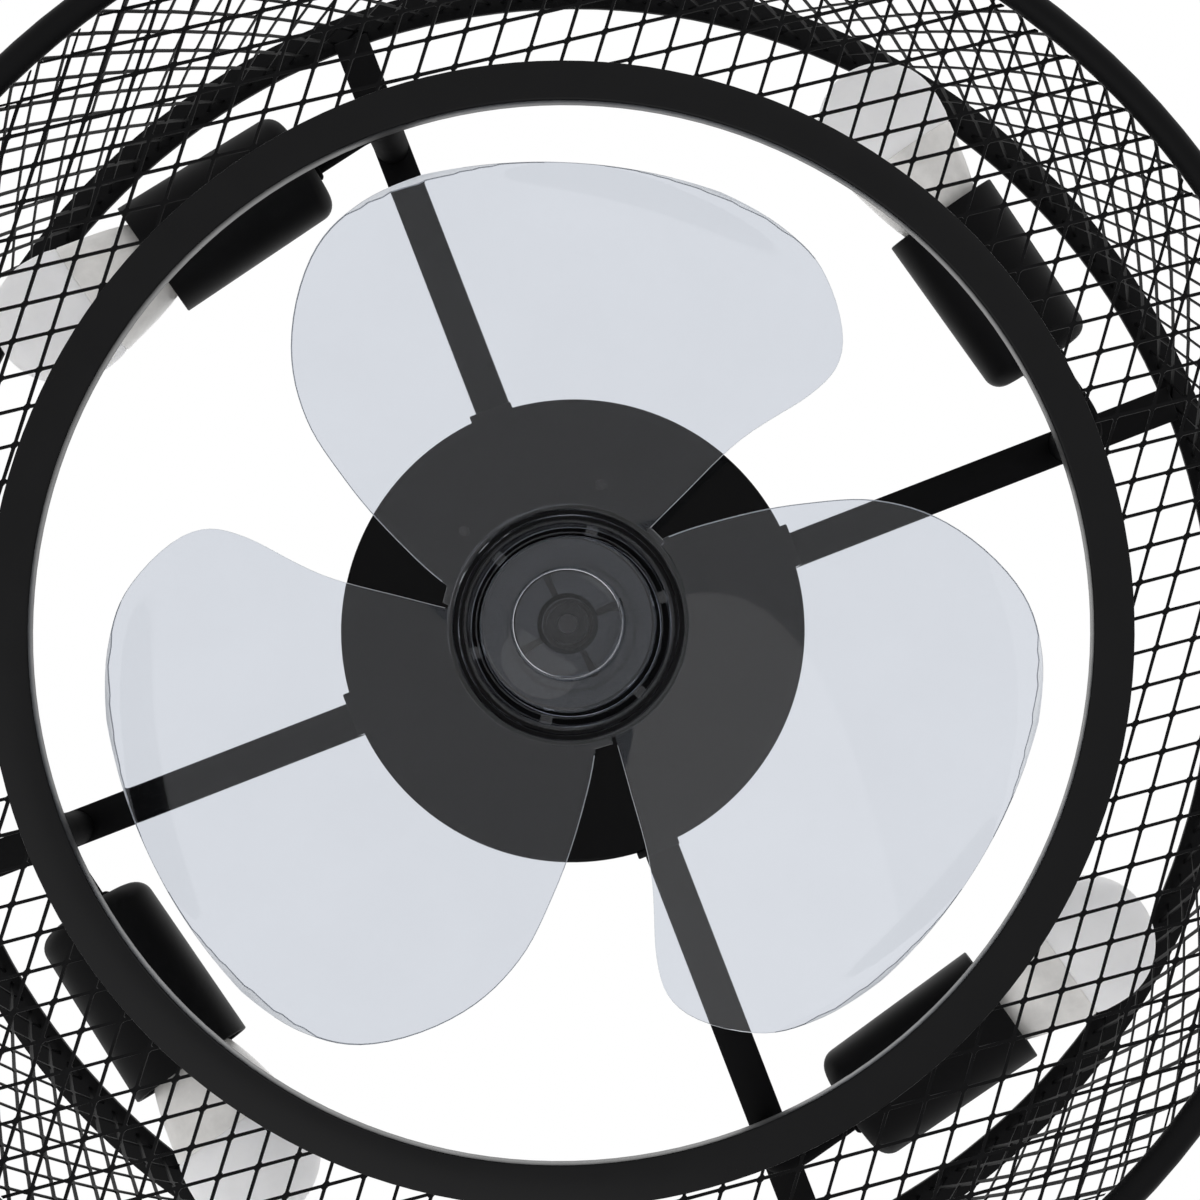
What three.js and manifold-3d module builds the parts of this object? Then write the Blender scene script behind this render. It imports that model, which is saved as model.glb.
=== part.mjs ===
// A flush-mount ceiling fan: a clear three-blade propeller turns inside a round cage of expanded metal,
// and four lamps stand inside the cage, one under each spoke. Millimetres, +Z up, origin on the ceiling.

import * as THREE from 'three';
import { mergeGeometries, mergeVertices } from 'three/addons/utils/BufferGeometryUtils.js';
import Module from 'manifold-3d';

const wasm = await Module();
wasm.setup();

// ---------------------------------------------------------------- driving dimensions

const SEAT = 0.3; // gap between two faces that bear on each other
const SHEET_OVERLAP = 1; // how far joined or cut shapes run past each other

// Ceiling end
const BRACKET_RADIUS = 60;
const BRACKET_THICKNESS = 3;
const BRACKET_EAR_WIDTH = 24;
const BRACKET_EAR_DROP = 18;
const OUTLET_SCREW_SPACING = 88.9;
const OUTLET_SCREW_HOLE = 5;
const WIRE_HOLE = 20;
const WIRE_HOLE_OFFSET = 32;
const CANOPY_TOP_RADIUS = 80;
const CANOPY_BOTTOM_RADIUS = 71;
const CANOPY_HEIGHT = 49.8;
const CANOPY_WALL = 1.5;
const CANOPY_CORNER = 9;
const CANOPY_SCREW_DROP = 12;
const CANOPY_THROAT_ROOM = 1.2; // around the hanger tube
const HANGER_RADIUS = 12;
const HANGER_WALL = 3;
const HANGER_FLANGE_RADIUS = 34;
const HANGER_FLANGE_THICKNESS = 4;
const HANGER_COLLAR_WALL = 3.5;
const HANGER_COLLAR_DEPTH = 14;
const RECEIVER_LENGTH = 62;
const RECEIVER_WIDTH = 30;
const RECEIVER_HEIGHT = 16;
const RECEIVER_OFFSET = -35;

// Screws
const SMALL_SCREW = 4;
const SMALL_SCREW_HEAD = 8;
const SMALL_SCREW_HEAD_HEIGHT = 2.4;
const SMALL_SCREW_LENGTH = 10;

// Motor
const COVER_RADIUS = 106;
const COVER_THICKNESS = 2.5;
const COVER_RIM_HEIGHT = 12;
const COVER_RIM_WALL = 1.5;
const COVER_EDGE_ROUND = 1.5;
const COVER_TAB_WIDTH = 20;
const COVER_TAB_REACH = 2.5;
const COVER_NOSE_RADIUS = 22;
const COVER_NOSE_LENGTH = 16;
const COVER_SHAFT_ROOM = 3; // around the shaft in the cover's nose
const HOUSING_HEIGHT = 77;
const HOUSING_WALL = 2;
const HOUSING_CORNER = 8;
const BEARING_RADIUS = 15;
const BEARING_BORE_RADIUS = 5;
const BEARING_WIDTH = 9;
const BEARING_BOSS_WALL = 3.2;
const STATOR_RADIUS = 56;
const STATOR_BORE_RADIUS = 33;
const STATOR_HEIGHT = 36;
const STATOR_COIL_INSET = 6;
const STATOR_COIL_HEIGHT = 7;
const STATOR_STAND_HEIGHT = 19;
const STATOR_STAND_WALL = 3;
const STATOR_STAND_LIP = 8;
const ROTOR_AIR_GAP = 0.8;
const ROTOR_HEIGHT = 34;
const SHAFT_RADIUS = 4;
const DRIVE_PIN_DIAMETER = 3;
const DRIVE_PIN_LENGTH = 18;

// Propeller and its nut
const PROPELLER_BLADES = 3;
const BLADE_TURN = -78.9; // degrees from +X to the first blade's axis
const BLADE_DROP = 54.5; // from the motor cover down to the middle of the blades
const BLADE_THICKNESS = 2;
const BLADE_ROOT_RISE = 18; // in one radian along a blade's root
const BLADE_TIP_RISE = 40; // in one radian along a blade's tip
const BLADE_CAMBER = 5;
const BLADE_TIP_RADIUS = 206;
const HUB_RADIUS = 51;
const HUB_WALL = 2.2;
const HUB_FRONT = 22; // from the middle of the blades down to the hub's front rim
const HUB_BACK = 22; // from the middle of the blades up to the hub's back
const HUB_WEB_THICKNESS = 2.4;
const HUB_WEB_DEPTH = 30; // from the front rim to the web
const HUB_BOSS_RADIUS = 11;
const HUB_BOSS_FRONT_DEPTH = 18;
const HUB_STEP_RADIUS = 43;
const HUB_STEP_WALL = 1.6;
const HUB_STEP_DEPTH = 4;
const HUB_RIBS = 4;
const HUB_RIB_TURN = -5.4; // degrees from +X to the first rib
const HUB_RIB_THICKNESS = 1.6;
const HUB_RIB_HEIGHT = 7;
const HUB_TAB_LEAD = 54.3; // degrees from a blade's axis to the tab before its leading edge
const HUB_TAB_WIDTH = 9;
const HUB_TAB_REACH = 2.5;
const HUB_TAB_HEIGHT = 4;
const NUT_RADIUS = 37;
const NUT_WALL = 2;
const NUT_SKIRT = 11;
const NUT_CROWN_RADIUS = 23.5;
const NUT_CROWN_RISE = 7;
const NUT_CROWN_FLARE = 2.3; // how far the crown widens down to the rim
const NUT_FACE_RADIUS = 16.5;
const NUT_FACE_FALL = 0.8; // from the middle of the crown back to the edge of its face
const NUT_SHOULDER_FALL = 3.5; // and back to its shoulder
const NUT_FRONT_STAND = 5; // how far the nut's rim stands below the hub's front rim
const INSERT_RADIUS = 8.5;
const INSERT_FLANGE = 2.1;

// Spokes and cage
const SPOKES = 4;
const SPOKE_WIDTH = 17.5;
const SPOKE_THICKNESS = 5;
const SPOKE_SCREW_INSET = 18; // from the motor cover's edge in to the screws of the spokes
const CAGE_RADIUS = 324; // centre line of the hoop, and the middle of the wall net
const CAGE_TUBE_RADIUS = 6;
const CAGE_HEIGHT = 187.4; // from the middle of the spokes down to the hoop's centre line
const CAGE_TUBE_SIDES = 8;
const CAGE_FACETS = 40;
const TOP_RING_INSET = 5.2; // how far the top ring's inner edge stands inside the wall net
const TOP_RING_SHEET = 3;
const OPENING_RADIUS = 217;
const RING_BAND_WIDTH = 16.7; // of the strip that the bottom ring and the top ring are made of
const RING_SHEET = 2;
const RING_LIP_HEIGHT = 9;
const NET_THICKNESS = 1.3;
const NET_RIM = 3;
const NET_STRAND = 2.6;
const WALL_NET_COLUMNS = 20;
const WALL_NET_ROWS = 3;
const FLAT_NET_CELL_SHORT = 62;
const FLAT_NET_CELL_LONG = 108;
const FLAT_NET_LAY = -22.6; // degrees from +X to the long diagonals of its cells

// Lamps
const LAMP_RADIUS = 262; // from the fan's axis to the elbow of an arm
const LAMP_DROP = 60.4; // from the middle of a spoke down to the elbow
const LAMP_YAW = -103.9; // degrees from the spoke's direction to the lamp's
const LAMP_DROOP = 4; // degrees by which a lamp points down
const ARM_RADIUS = 8.5;
const ARM_WALL = 1.5;
const ARM_BEND_RADIUS = 16;
const ARM_REACH = 40; // from the elbow to the cup
const ARM_PLUG_DEPTH = 8;
const ARM_FLANGE_DEPTH = 3;
const ARM_SIDES = 8;
const ARM_BEND_STEPS = 2;
const NIPPLE_RADIUS = 5;
const NIPPLE_BORE_RADIUS = 3.5;
const CUP_LENGTH = 85;
const CUP_MOUTH_RADIUS = 28.2;
const CUP_BACK_RADIUS = 27;
const CUP_WALL = 1.8;
const CUP_CORNER = 8;
const HOLDER_RECESS = 6; // from the cup's mouth back to the lampholder's
const HOLDER_LENGTH = 45;
const HOLDER_RADIUS = 20;
const HOLDER_BACK_RADIUS = 17;
const HOLDER_BACK_TAPER = 8;
const HOLDER_BORE_DEPTH = 25;
const HOLDER_BACK_DEPTH = 4; // how far the nipple goes into the lampholder
const BASE_RADIUS = 13.2;
const BASE_LENGTH = 23;
const BASE_CHAMFER = 4;
const CONTACT_RADIUS = 4.5;
const CONTACT_LENGTH = 2.5;
const BULB_NECK_RADIUS = 16;
const BULB_SEAM_RADIUS = 28;
const BULB_BODY_LENGTH = 38;
const BULB_FLARE_RADIUS = 19.8;
const BULB_FLARE_LENGTH = 5;
const BULB_SHOULDER_RADIUS = 24;
const BULB_SHOULDER_LENGTH = 19;
const BULB_RADIUS = 30.2;
const DOME_LENGTH = 46;
const DOME_WALL = 1.6;
const DOME_STEPS = 5;

// Facets of the round pieces
const LARGE_FACETS = 24;
const CUP_FACETS = 14;
const BULB_FACETS = 12;
const SMALL_FACETS = 8;
const SCREW_FACETS = 6;

// ---------------------------------------------------------------- heights, from the ceiling down

const spokeTopZ = -(CANOPY_HEIGHT + SEAT);
const spokeMidZ = spokeTopZ - SPOKE_THICKNESS / 2;
const hoopZ = spokeMidZ - CAGE_HEIGHT;
const housingTopZ = spokeTopZ - SPOKE_THICKNESS - SEAT;
const housingBottomZ = housingTopZ - HOUSING_HEIGHT;
const coverFloorZ = housingBottomZ - SEAT;
const coverBottomZ = coverFloorZ - COVER_THICKNESS;
const upperBearingTopZ = housingTopZ - HOUSING_WALL - SEAT;
const lowerBearingBottomZ = coverFloorZ + SEAT;
const statorBottomZ = coverFloorZ + STATOR_STAND_HEIGHT + SEAT;
const bladeMidZ = coverBottomZ - BLADE_DROP;
const hubFrontZ = bladeMidZ - HUB_FRONT;
const hubBackZ = bladeMidZ + HUB_BACK;
const bossFrontZ = hubFrontZ + HUB_BOSS_FRONT_DEPTH;
const drivePinZ = hubBackZ - DRIVE_PIN_DIAMETER / 2 - SEAT;
const nutRimZ = hubFrontZ - NUT_FRONT_STAND;
const nutFrontZ = nutRimZ - NUT_CROWN_RISE;
const insertTopZ = bossFrontZ - SEAT;
const shaftEndZ = nutFrontZ + NUT_WALL + SEAT;
const elbowZ = spokeMidZ - LAMP_DROP;
const insertBoreRadius = SHAFT_RADIUS + SEAT;

// ---------------------------------------------------------------- small helpers

const degrees = (angle) => THREE.MathUtils.degToRad(angle);
const roundBore = (radius, facets) => radius / Math.cos(Math.PI / facets); // the flats clear the radius
const point = (radius, height) => new THREE.Vector2(radius, height);

function bareGeometry(geometry) {
  const bare = new THREE.BufferGeometry();
  bare.setAttribute('position', geometry.attributes.position.clone());
  if (geometry.index) bare.setIndex(geometry.index.clone());
  return mergeVertices(bare, 1e-4);
}

function fullTriangles(index) {
  const kept = [];
  for (let i = 0; i < index.length; i += 3) {
    const [a, b, c] = [index[i], index[i + 1], index[i + 2]];
    if (a !== b && b !== c && c !== a) kept.push(a, b, c);
  }
  return kept;
}

function signedVolume(position, index) {
  const [a, b, c] = [new THREE.Vector3(), new THREE.Vector3(), new THREE.Vector3()];
  let volume = 0;
  for (let i = 0; i < index.length; i += 3) {
    a.fromBufferAttribute(position, index[i]);
    b.fromBufferAttribute(position, index[i + 1]);
    c.fromBufferAttribute(position, index[i + 2]);
    volume += a.dot(b.cross(c)) / 6;
  }
  return volume;
}

// A closed geometry with shared vertices, no flat triangles, and its faces pointing out.
function closed(geometry) {
  const merged = bareGeometry(geometry);
  const index = fullTriangles(Array.from(merged.index.array));
  if (signedVolume(merged.attributes.position, index) < 0) {
    for (let i = 0; i < index.length; i += 3) [index[i], index[i + 1]] = [index[i + 1], index[i]];
  }
  merged.setIndex(index);
  return merged;
}

function solid(geometry) {
  const shape = closed(geometry);
  return new wasm.Manifold(new wasm.Mesh({
    numProp: 3,
    vertProperties: new Float32Array(shape.attributes.position.array),
    triVerts: new Uint32Array(shape.index.array),
  }));
}

function geometryOf(manifold) {
  const mesh = manifold.getMesh();
  const geometry = new THREE.BufferGeometry();
  geometry.setAttribute('position', new THREE.BufferAttribute(mesh.vertProperties, 3));
  geometry.setIndex(new THREE.BufferAttribute(mesh.triVerts, 1));
  return geometry;
}

function join(first, ...others) {
  return geometryOf(others.reduce((whole, part) => whole.add(solid(part)), solid(first)));
}

function cut(first, ...others) {
  return geometryOf(others.reduce((whole, part) => whole.subtract(solid(part)), solid(first)));
}

// A turned shape about Z from a closed profile of (radius, z) points.
function turned(profile, facets) {
  return closed(new THREE.LatheGeometry([...profile, profile[0]], facets).rotateX(Math.PI / 2));
}

function disc(radius, bottom, top, facets) {
  return turned([point(0, bottom), point(radius, bottom), point(radius, top), point(0, top)], facets);
}

function ringWall(inner, outer, bottom, top, facets) {
  const profile = [point(inner, bottom), point(outer, bottom), point(outer, top), point(inner, top)];
  return turned(profile, facets);
}

function block(sizeX, sizeY, sizeZ, x, y, z) {
  return new THREE.BoxGeometry(sizeX, sizeY, sizeZ).translate(x, y, z);
}

// Points of a quarter round between two directions, given in degrees, for a turned profile.
function roundedCorner(centreRadius, centreHeight, radius, from, to, steps = 2) {
  return Array.from({ length: steps + 1 }, (_, i) => {
    const angle = degrees(THREE.MathUtils.lerp(from, to, i / steps));
    return point(centreRadius + radius * Math.cos(angle), centreHeight + radius * Math.sin(angle));
  });
}

// A turned shape whose axis is +X, for the pieces of a lamp.
function turnedAlongX(profile, facets) {
  return turned(profile, facets).rotateY(Math.PI / 2);
}

const finishes = {
  black: { color: 0x17181a, roughness: 0.55, metalness: 0.35 },
  glossBlack: { color: 0x0b0b0c, roughness: 0.12, metalness: 0.1 },
  steel: { color: 0x8d9094, roughness: 0.35, metalness: 0.9 },
  copper: { color: 0x9c5a34, roughness: 0.5, metalness: 0.7 },
  clear: { color: 0xd3dae6, roughness: 0.08, metalness: 0, transparent: true, opacity: 0.45 },
  whitePlastic: { color: 0xe6e4de, roughness: 0.5, metalness: 0 },
  bulbBody: { color: 0xc9c6bf, roughness: 0.45, metalness: 0 },
  bulbDome: { color: 0xe2dfeb, roughness: 0.5, metalness: 0 },
};

const fan = new THREE.Group();

function piece(name, geometry, finish, parent = fan) {
  const mesh = new THREE.Mesh(geometry, new THREE.MeshStandardMaterial(finishes[finish]));
  mesh.name = name;
  parent.add(mesh);
  return mesh;
}

// A screw that points down, with the underside of its head at the given height.
function screw(length, headBottomZ) {
  const radius = SMALL_SCREW / 2;
  const headTopZ = headBottomZ + SMALL_SCREW_HEAD_HEIGHT;
  return turned([
    point(0, headBottomZ - length), point(radius, headBottomZ - length), point(radius, headBottomZ),
    point(SMALL_SCREW_HEAD / 2, headBottomZ), point(SMALL_SCREW_HEAD / 2, headTopZ), point(0, headTopZ),
  ], SCREW_FACETS);
}

function screwHole(x, y, bottom, top) {
  return disc(SMALL_SCREW / 2 + SEAT, bottom, top, SCREW_FACETS).translate(x, y, 0);
}

// ---------------------------------------------------------------- ceiling bracket, canopy and what they hide

const canopyInnerRadius = CANOPY_TOP_RADIUS - CANOPY_WALL;
const canopyTaper = (CANOPY_TOP_RADIUS - CANOPY_BOTTOM_RADIUS) / (CANOPY_HEIGHT - CANOPY_CORNER);
const canopyInnerAtEar = canopyInnerRadius - canopyTaper * BRACKET_EAR_DROP;
const earReach = canopyInnerAtEar * Math.cos(Math.PI / LARGE_FACETS) - 2 * SEAT;
const earOuterX = Math.sqrt(earReach ** 2 - (BRACKET_EAR_WIDTH / 2) ** 2);

function ceilingBracket() {
  const plate = disc(BRACKET_RADIUS, -BRACKET_THICKNESS, 0, LARGE_FACETS);
  const collarTop = -BRACKET_THICKNESS + SHEET_OVERLAP;
  const collarBottom = -BRACKET_THICKNESS - HANGER_COLLAR_DEPTH;
  const bore = HANGER_RADIUS + SEAT;
  const collar = ringWall(bore, bore + HANGER_COLLAR_WALL, collarBottom, collarTop, LARGE_FACETS);
  const earMidX = earOuterX - BRACKET_THICKNESS / 2;
  const arms = [1, -1].flatMap((side) => [
    block(earOuterX, BRACKET_EAR_WIDTH, BRACKET_THICKNESS, side * earOuterX / 2, 0, -BRACKET_THICKNESS / 2),
    block(BRACKET_THICKNESS, BRACKET_EAR_WIDTH, BRACKET_EAR_DROP, side * earMidX, 0, -BRACKET_EAR_DROP / 2),
  ]);
  const outletHoles = [1, -1].map((side) => disc(OUTLET_SCREW_HOLE / 2, -BRACKET_THICKNESS - SHEET_OVERLAP,
    SHEET_OVERLAP, SCREW_FACETS).translate(0, side * OUTLET_SCREW_SPACING / 2, 0));
  const wireHole = disc(WIRE_HOLE / 2, -BRACKET_THICKNESS - SHEET_OVERLAP, SHEET_OVERLAP, SMALL_FACETS)
    .translate(WIRE_HOLE_OFFSET, 0, 0);
  const earHole = sideScrewHole(2 * CANOPY_TOP_RADIUS);
  return cut(join(plate, collar, ...arms), ...outletHoles, wireHole, earHole);
}

// A hole along X right through the canopy and both ears of the bracket.
function sideScrewHole(length) {
  return new THREE.CylinderGeometry(SMALL_SCREW / 2 + SEAT, SMALL_SCREW / 2 + SEAT, length, SCREW_FACETS)
    .rotateZ(Math.PI / 2).translate(0, 0, -CANOPY_SCREW_DROP);
}

function canopy() {
  const cornerRadius = CANOPY_BOTTOM_RADIUS - CANOPY_CORNER;
  const cornerZ = -CANOPY_HEIGHT + CANOPY_CORNER;
  const innerCorner = CANOPY_CORNER - CANOPY_WALL;
  const throat = HANGER_RADIUS + CANOPY_THROAT_ROOM;
  const shell = turned([
    point(CANOPY_TOP_RADIUS, -SEAT),
    ...roundedCorner(cornerRadius, cornerZ, CANOPY_CORNER, 0, -90),
    point(throat, -CANOPY_HEIGHT),
    point(throat, -CANOPY_HEIGHT + CANOPY_WALL),
    ...roundedCorner(cornerRadius, cornerZ, innerCorner, -90, 0),
    point(canopyInnerRadius, -SEAT),
  ], LARGE_FACETS);
  return cut(shell, sideScrewHole(2 * CANOPY_TOP_RADIUS + 2 * SHEET_OVERLAP));
}

function hangerTube() {
  const flangeBottom = housingTopZ + SEAT;
  const flangeTop = flangeBottom + HANGER_FLANGE_THICKNESS;
  const top = -BRACKET_THICKNESS - SEAT;
  const bore = HANGER_RADIUS - HANGER_WALL;
  return turned([
    point(bore, flangeBottom), point(HANGER_FLANGE_RADIUS, flangeBottom),
    point(HANGER_FLANGE_RADIUS, flangeTop), point(HANGER_RADIUS, flangeTop),
    point(HANGER_RADIUS, top), point(bore, top),
  ], LARGE_FACETS);
}

function addCeilingEnd() {
  piece('ceiling_bracket', ceilingBracket(), 'steel');
  piece('canopy', canopy(), 'black');
  piece('hanger_tube', hangerTube(), 'steel');
  const boxTop = -BRACKET_THICKNESS - SEAT;
  piece('receiver', block(RECEIVER_LENGTH, RECEIVER_WIDTH, RECEIVER_HEIGHT,
    0, RECEIVER_OFFSET, boxTop - RECEIVER_HEIGHT / 2), 'whitePlastic');
}

// ---------------------------------------------------------------- motor

const housingRadius = COVER_RADIUS - COVER_RIM_WALL - SEAT;
const spokeScrewRadius = COVER_RADIUS - SPOKE_SCREW_INSET;
const bearingSeatRadius = BEARING_RADIUS + SEAT;
const bearingBossRadius = bearingSeatRadius + BEARING_BOSS_WALL;
const spokeAngles = Array.from({ length: SPOKES }, (_, i) => (i * 2 * Math.PI) / SPOKES);
const around = (radius, angle) => [radius * Math.cos(angle), radius * Math.sin(angle)];

function motorHousing() {
  const cornerRadius = housingRadius - HOUSING_CORNER;
  const cornerZ = housingTopZ - HOUSING_CORNER;
  const shell = turned([
    point(0, housingTopZ),
    ...roundedCorner(cornerRadius, cornerZ, HOUSING_CORNER, 90, 0),
    point(housingRadius, housingBottomZ),
    point(housingRadius - HOUSING_WALL, housingBottomZ),
    ...roundedCorner(cornerRadius, cornerZ, HOUSING_CORNER - HOUSING_WALL, 0, 90),
    point(0, housingTopZ - HOUSING_WALL),
  ], LARGE_FACETS);
  const boss = ringWall(bearingSeatRadius, bearingBossRadius, upperBearingTopZ - BEARING_WIDTH,
    housingTopZ - HOUSING_WALL + SHEET_OVERLAP, SMALL_FACETS * 2);
  const holes = spokeAngles.map((angle) => screwHole(...around(spokeScrewRadius, angle),
    housingTopZ - 2 * HOUSING_WALL, housingTopZ + SHEET_OVERLAP));
  return cut(join(shell, boss), ...holes);
}

function motorCover() {
  const rimTop = coverBottomZ + COVER_RIM_HEIGHT;
  const shell = turned([
    point(0, coverBottomZ),
    point(COVER_RADIUS - COVER_EDGE_ROUND, coverBottomZ),
    point(COVER_RADIUS, coverBottomZ + COVER_EDGE_ROUND),
    point(COVER_RADIUS, rimTop),
    point(COVER_RADIUS - COVER_RIM_WALL, rimTop),
    point(COVER_RADIUS - COVER_RIM_WALL, coverFloorZ),
    point(0, coverFloorZ),
  ], LARGE_FACETS);
  const nose = disc(COVER_NOSE_RADIUS, coverBottomZ - COVER_NOSE_LENGTH, coverFloorZ, SMALL_FACETS * 2);
  const bearingBoss = ringWall(bearingSeatRadius, bearingBossRadius, coverFloorZ - SHEET_OVERLAP,
    lowerBearingBottomZ + BEARING_WIDTH, SMALL_FACETS * 2);
  const standOuter = STATOR_RADIUS + SEAT + STATOR_STAND_WALL;
  const stand = turned([
    point(STATOR_RADIUS - STATOR_STAND_WALL, coverFloorZ - SHEET_OVERLAP),
    point(standOuter, coverFloorZ - SHEET_OVERLAP),
    point(standOuter, statorBottomZ + STATOR_STAND_LIP),
    point(STATOR_RADIUS + SEAT, statorBottomZ + STATOR_STAND_LIP),
    point(STATOR_RADIUS + SEAT, statorBottomZ - SEAT),
    point(STATOR_RADIUS - STATOR_STAND_WALL, statorBottomZ - SEAT),
  ], LARGE_FACETS);
  const tabs = spokeAngles.map((angle) => block(COVER_TAB_REACH + COVER_RIM_WALL, COVER_TAB_WIDTH,
    COVER_RIM_HEIGHT, COVER_RADIUS + (COVER_TAB_REACH - COVER_RIM_WALL) / 2, 0,
    coverBottomZ + COVER_RIM_HEIGHT / 2).rotateZ(angle));
  const shaftHole = disc(SHAFT_RADIUS + COVER_SHAFT_ROOM, coverBottomZ - COVER_NOSE_LENGTH - SHEET_OVERLAP,
    coverFloorZ + SHEET_OVERLAP, SMALL_FACETS * 2);
  return cut(join(shell, nose, bearingBoss, stand, ...tabs), shaftHole);
}

function stator() {
  const top = statorBottomZ + STATOR_HEIGHT;
  const inner = STATOR_BORE_RADIUS;
  const coilInner = inner + STATOR_COIL_INSET / 2;
  const coilOuter = STATOR_RADIUS - STATOR_COIL_INSET;
  return turned([
    point(inner, statorBottomZ), point(coilInner, statorBottomZ),
    point(coilInner, statorBottomZ - STATOR_COIL_HEIGHT),
    point(coilOuter, statorBottomZ - STATOR_COIL_HEIGHT),
    point(coilOuter, statorBottomZ), point(STATOR_RADIUS, statorBottomZ), point(STATOR_RADIUS, top),
    point(coilOuter, top), point(coilOuter, top + STATOR_COIL_HEIGHT),
    point(coilInner, top + STATOR_COIL_HEIGHT), point(coilInner, top), point(inner, top),
  ], LARGE_FACETS);
}

function motorShaft() {
  const top = upperBearingTopZ;
  const thick = BEARING_BORE_RADIUS - SEAT;
  const stepZ = lowerBearingBottomZ - SEAT;
  const shaft = turned([
    point(0, shaftEndZ), point(SHAFT_RADIUS, shaftEndZ), point(SHAFT_RADIUS, stepZ),
    point(thick, stepZ), point(thick, top), point(0, top),
  ], SMALL_FACETS * 2);
  const pinHole = new THREE.CylinderGeometry(DRIVE_PIN_DIAMETER / 2 + SEAT, DRIVE_PIN_DIAMETER / 2 + SEAT,
    4 * SHAFT_RADIUS, SCREW_FACETS).rotateZ(Math.PI / 2).translate(0, 0, drivePinZ);
  return cut(shaft, pinHole);
}

function bearing(bottom) {
  return ringWall(BEARING_BORE_RADIUS, BEARING_RADIUS, bottom, bottom + BEARING_WIDTH, SMALL_FACETS * 2);
}

function addMotor() {
  piece('motor_housing', motorHousing(), 'black');
  piece('motor_cover', motorCover(), 'glossBlack');
  piece('stator', stator(), 'copper');
  const rotorMidZ = statorBottomZ + STATOR_HEIGHT / 2;
  piece('rotor', ringWall(BEARING_BORE_RADIUS, STATOR_BORE_RADIUS - ROTOR_AIR_GAP,
    rotorMidZ - ROTOR_HEIGHT / 2, rotorMidZ + ROTOR_HEIGHT / 2, SMALL_FACETS * 2), 'steel');
  piece('motor_shaft', motorShaft(), 'steel');
  piece('upper_bearing', bearing(upperBearingTopZ - BEARING_WIDTH), 'steel');
  piece('lower_bearing', bearing(lowerBearingBottomZ), 'steel');
  const pin = new THREE.CylinderGeometry(DRIVE_PIN_DIAMETER / 2, DRIVE_PIN_DIAMETER / 2, DRIVE_PIN_LENGTH,
    SCREW_FACETS).rotateZ(Math.PI / 2).translate(0, 0, drivePinZ);
  piece('drive_pin', closed(pin), 'steel');
}

// ---------------------------------------------------------------- propeller and spinner nut

// A blade's two side edges as (share of the way from the hub to the tip, degrees from the blade's axis).
const TRAILING_EDGE = [
  [0, -63.5], [0.174, -54.7], [0.385, -47.5], [0.577, -42], [0.749, -34.8], [0.917, -24.5], [0.98, -16.5],
  [1, -8.2],
];
const LEADING_EDGE = [
  [0, 48.2], [0.161, 50.2], [0.385, 51.8], [0.641, 55.6], [0.802, 54.2], [0.942, 45.3], [0.986, 37.5],
  [1, 28.8],
];
const BLADE_ROWS = 8;
const BLADE_COLUMNS = 7;

const edgeCurve = (edge) => new THREE.SplineCurve(edge.map(([share, angle]) => point(share, angle)));

// The middle surface of a blade, row by row from root to tip, from trailing to leading edge.
function bladeSurface(row, column) {
  const along = row / BLADE_ROWS;
  const across = column / BLADE_COLUMNS;
  const trailing = edgeCurve(TRAILING_EDGE).getPoint(along);
  const leading = edgeCurve(LEADING_EDGE).getPoint(along);
  const outward = THREE.MathUtils.lerp(trailing.x, leading.x, across);
  const angle = degrees(THREE.MathUtils.lerp(trailing.y, leading.y, across));
  const radius = THREE.MathUtils.lerp(HUB_RADIUS - HUB_WALL / 2, BLADE_TIP_RADIUS, outward);
  const rise = angle * THREE.MathUtils.lerp(BLADE_ROOT_RISE, BLADE_TIP_RISE, outward);
  const camber = BLADE_CAMBER * outward * (1 - (2 * across - 1) ** 2);
  return new THREE.Vector3(radius * Math.cos(angle), radius * Math.sin(angle), rise + camber);
}

function blade() {
  const positions = [];
  const index = [];
  const rowLength = BLADE_COLUMNS + 1;
  const layer = rowLength * (BLADE_ROWS + 1);
  for (const side of [-0.5, 0.5]) {
    for (let row = 0; row <= BLADE_ROWS; row++) {
      for (let column = 0; column <= BLADE_COLUMNS; column++) {
        const p = bladeSurface(row, column);
        positions.push(p.x, p.y, p.z + side * BLADE_THICKNESS);
      }
    }
  }
  const quad = (a, b, c, d) => index.push(a, b, c, a, c, d);
  for (let row = 0; row < BLADE_ROWS; row++) {
    for (let column = 0; column < BLADE_COLUMNS; column++) {
      const a = row * rowLength + column;
      quad(a, a + 1, a + 1 + rowLength, a + rowLength);
      quad(a + layer, a + layer + rowLength, a + layer + rowLength + 1, a + layer + 1);
    }
  }
  const rim = [];
  for (let column = 0; column < BLADE_COLUMNS; column++) rim.push(column);
  for (let row = 0; row < BLADE_ROWS; row++) rim.push(row * rowLength + BLADE_COLUMNS);
  for (let column = BLADE_COLUMNS; column > 0; column--) rim.push(BLADE_ROWS * rowLength + column);
  for (let row = BLADE_ROWS; row > 0; row--) rim.push(row * rowLength);
  rim.forEach((a, i) => {
    const b = rim[(i + 1) % rim.length];
    quad(b, a, a + layer, b + layer);
  });
  const geometry = new THREE.BufferGeometry();
  geometry.setAttribute('position', new THREE.Float32BufferAttribute(positions, 3));
  geometry.setIndex(index);
  return closed(geometry.translate(0, 0, bladeMidZ));
}

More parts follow.
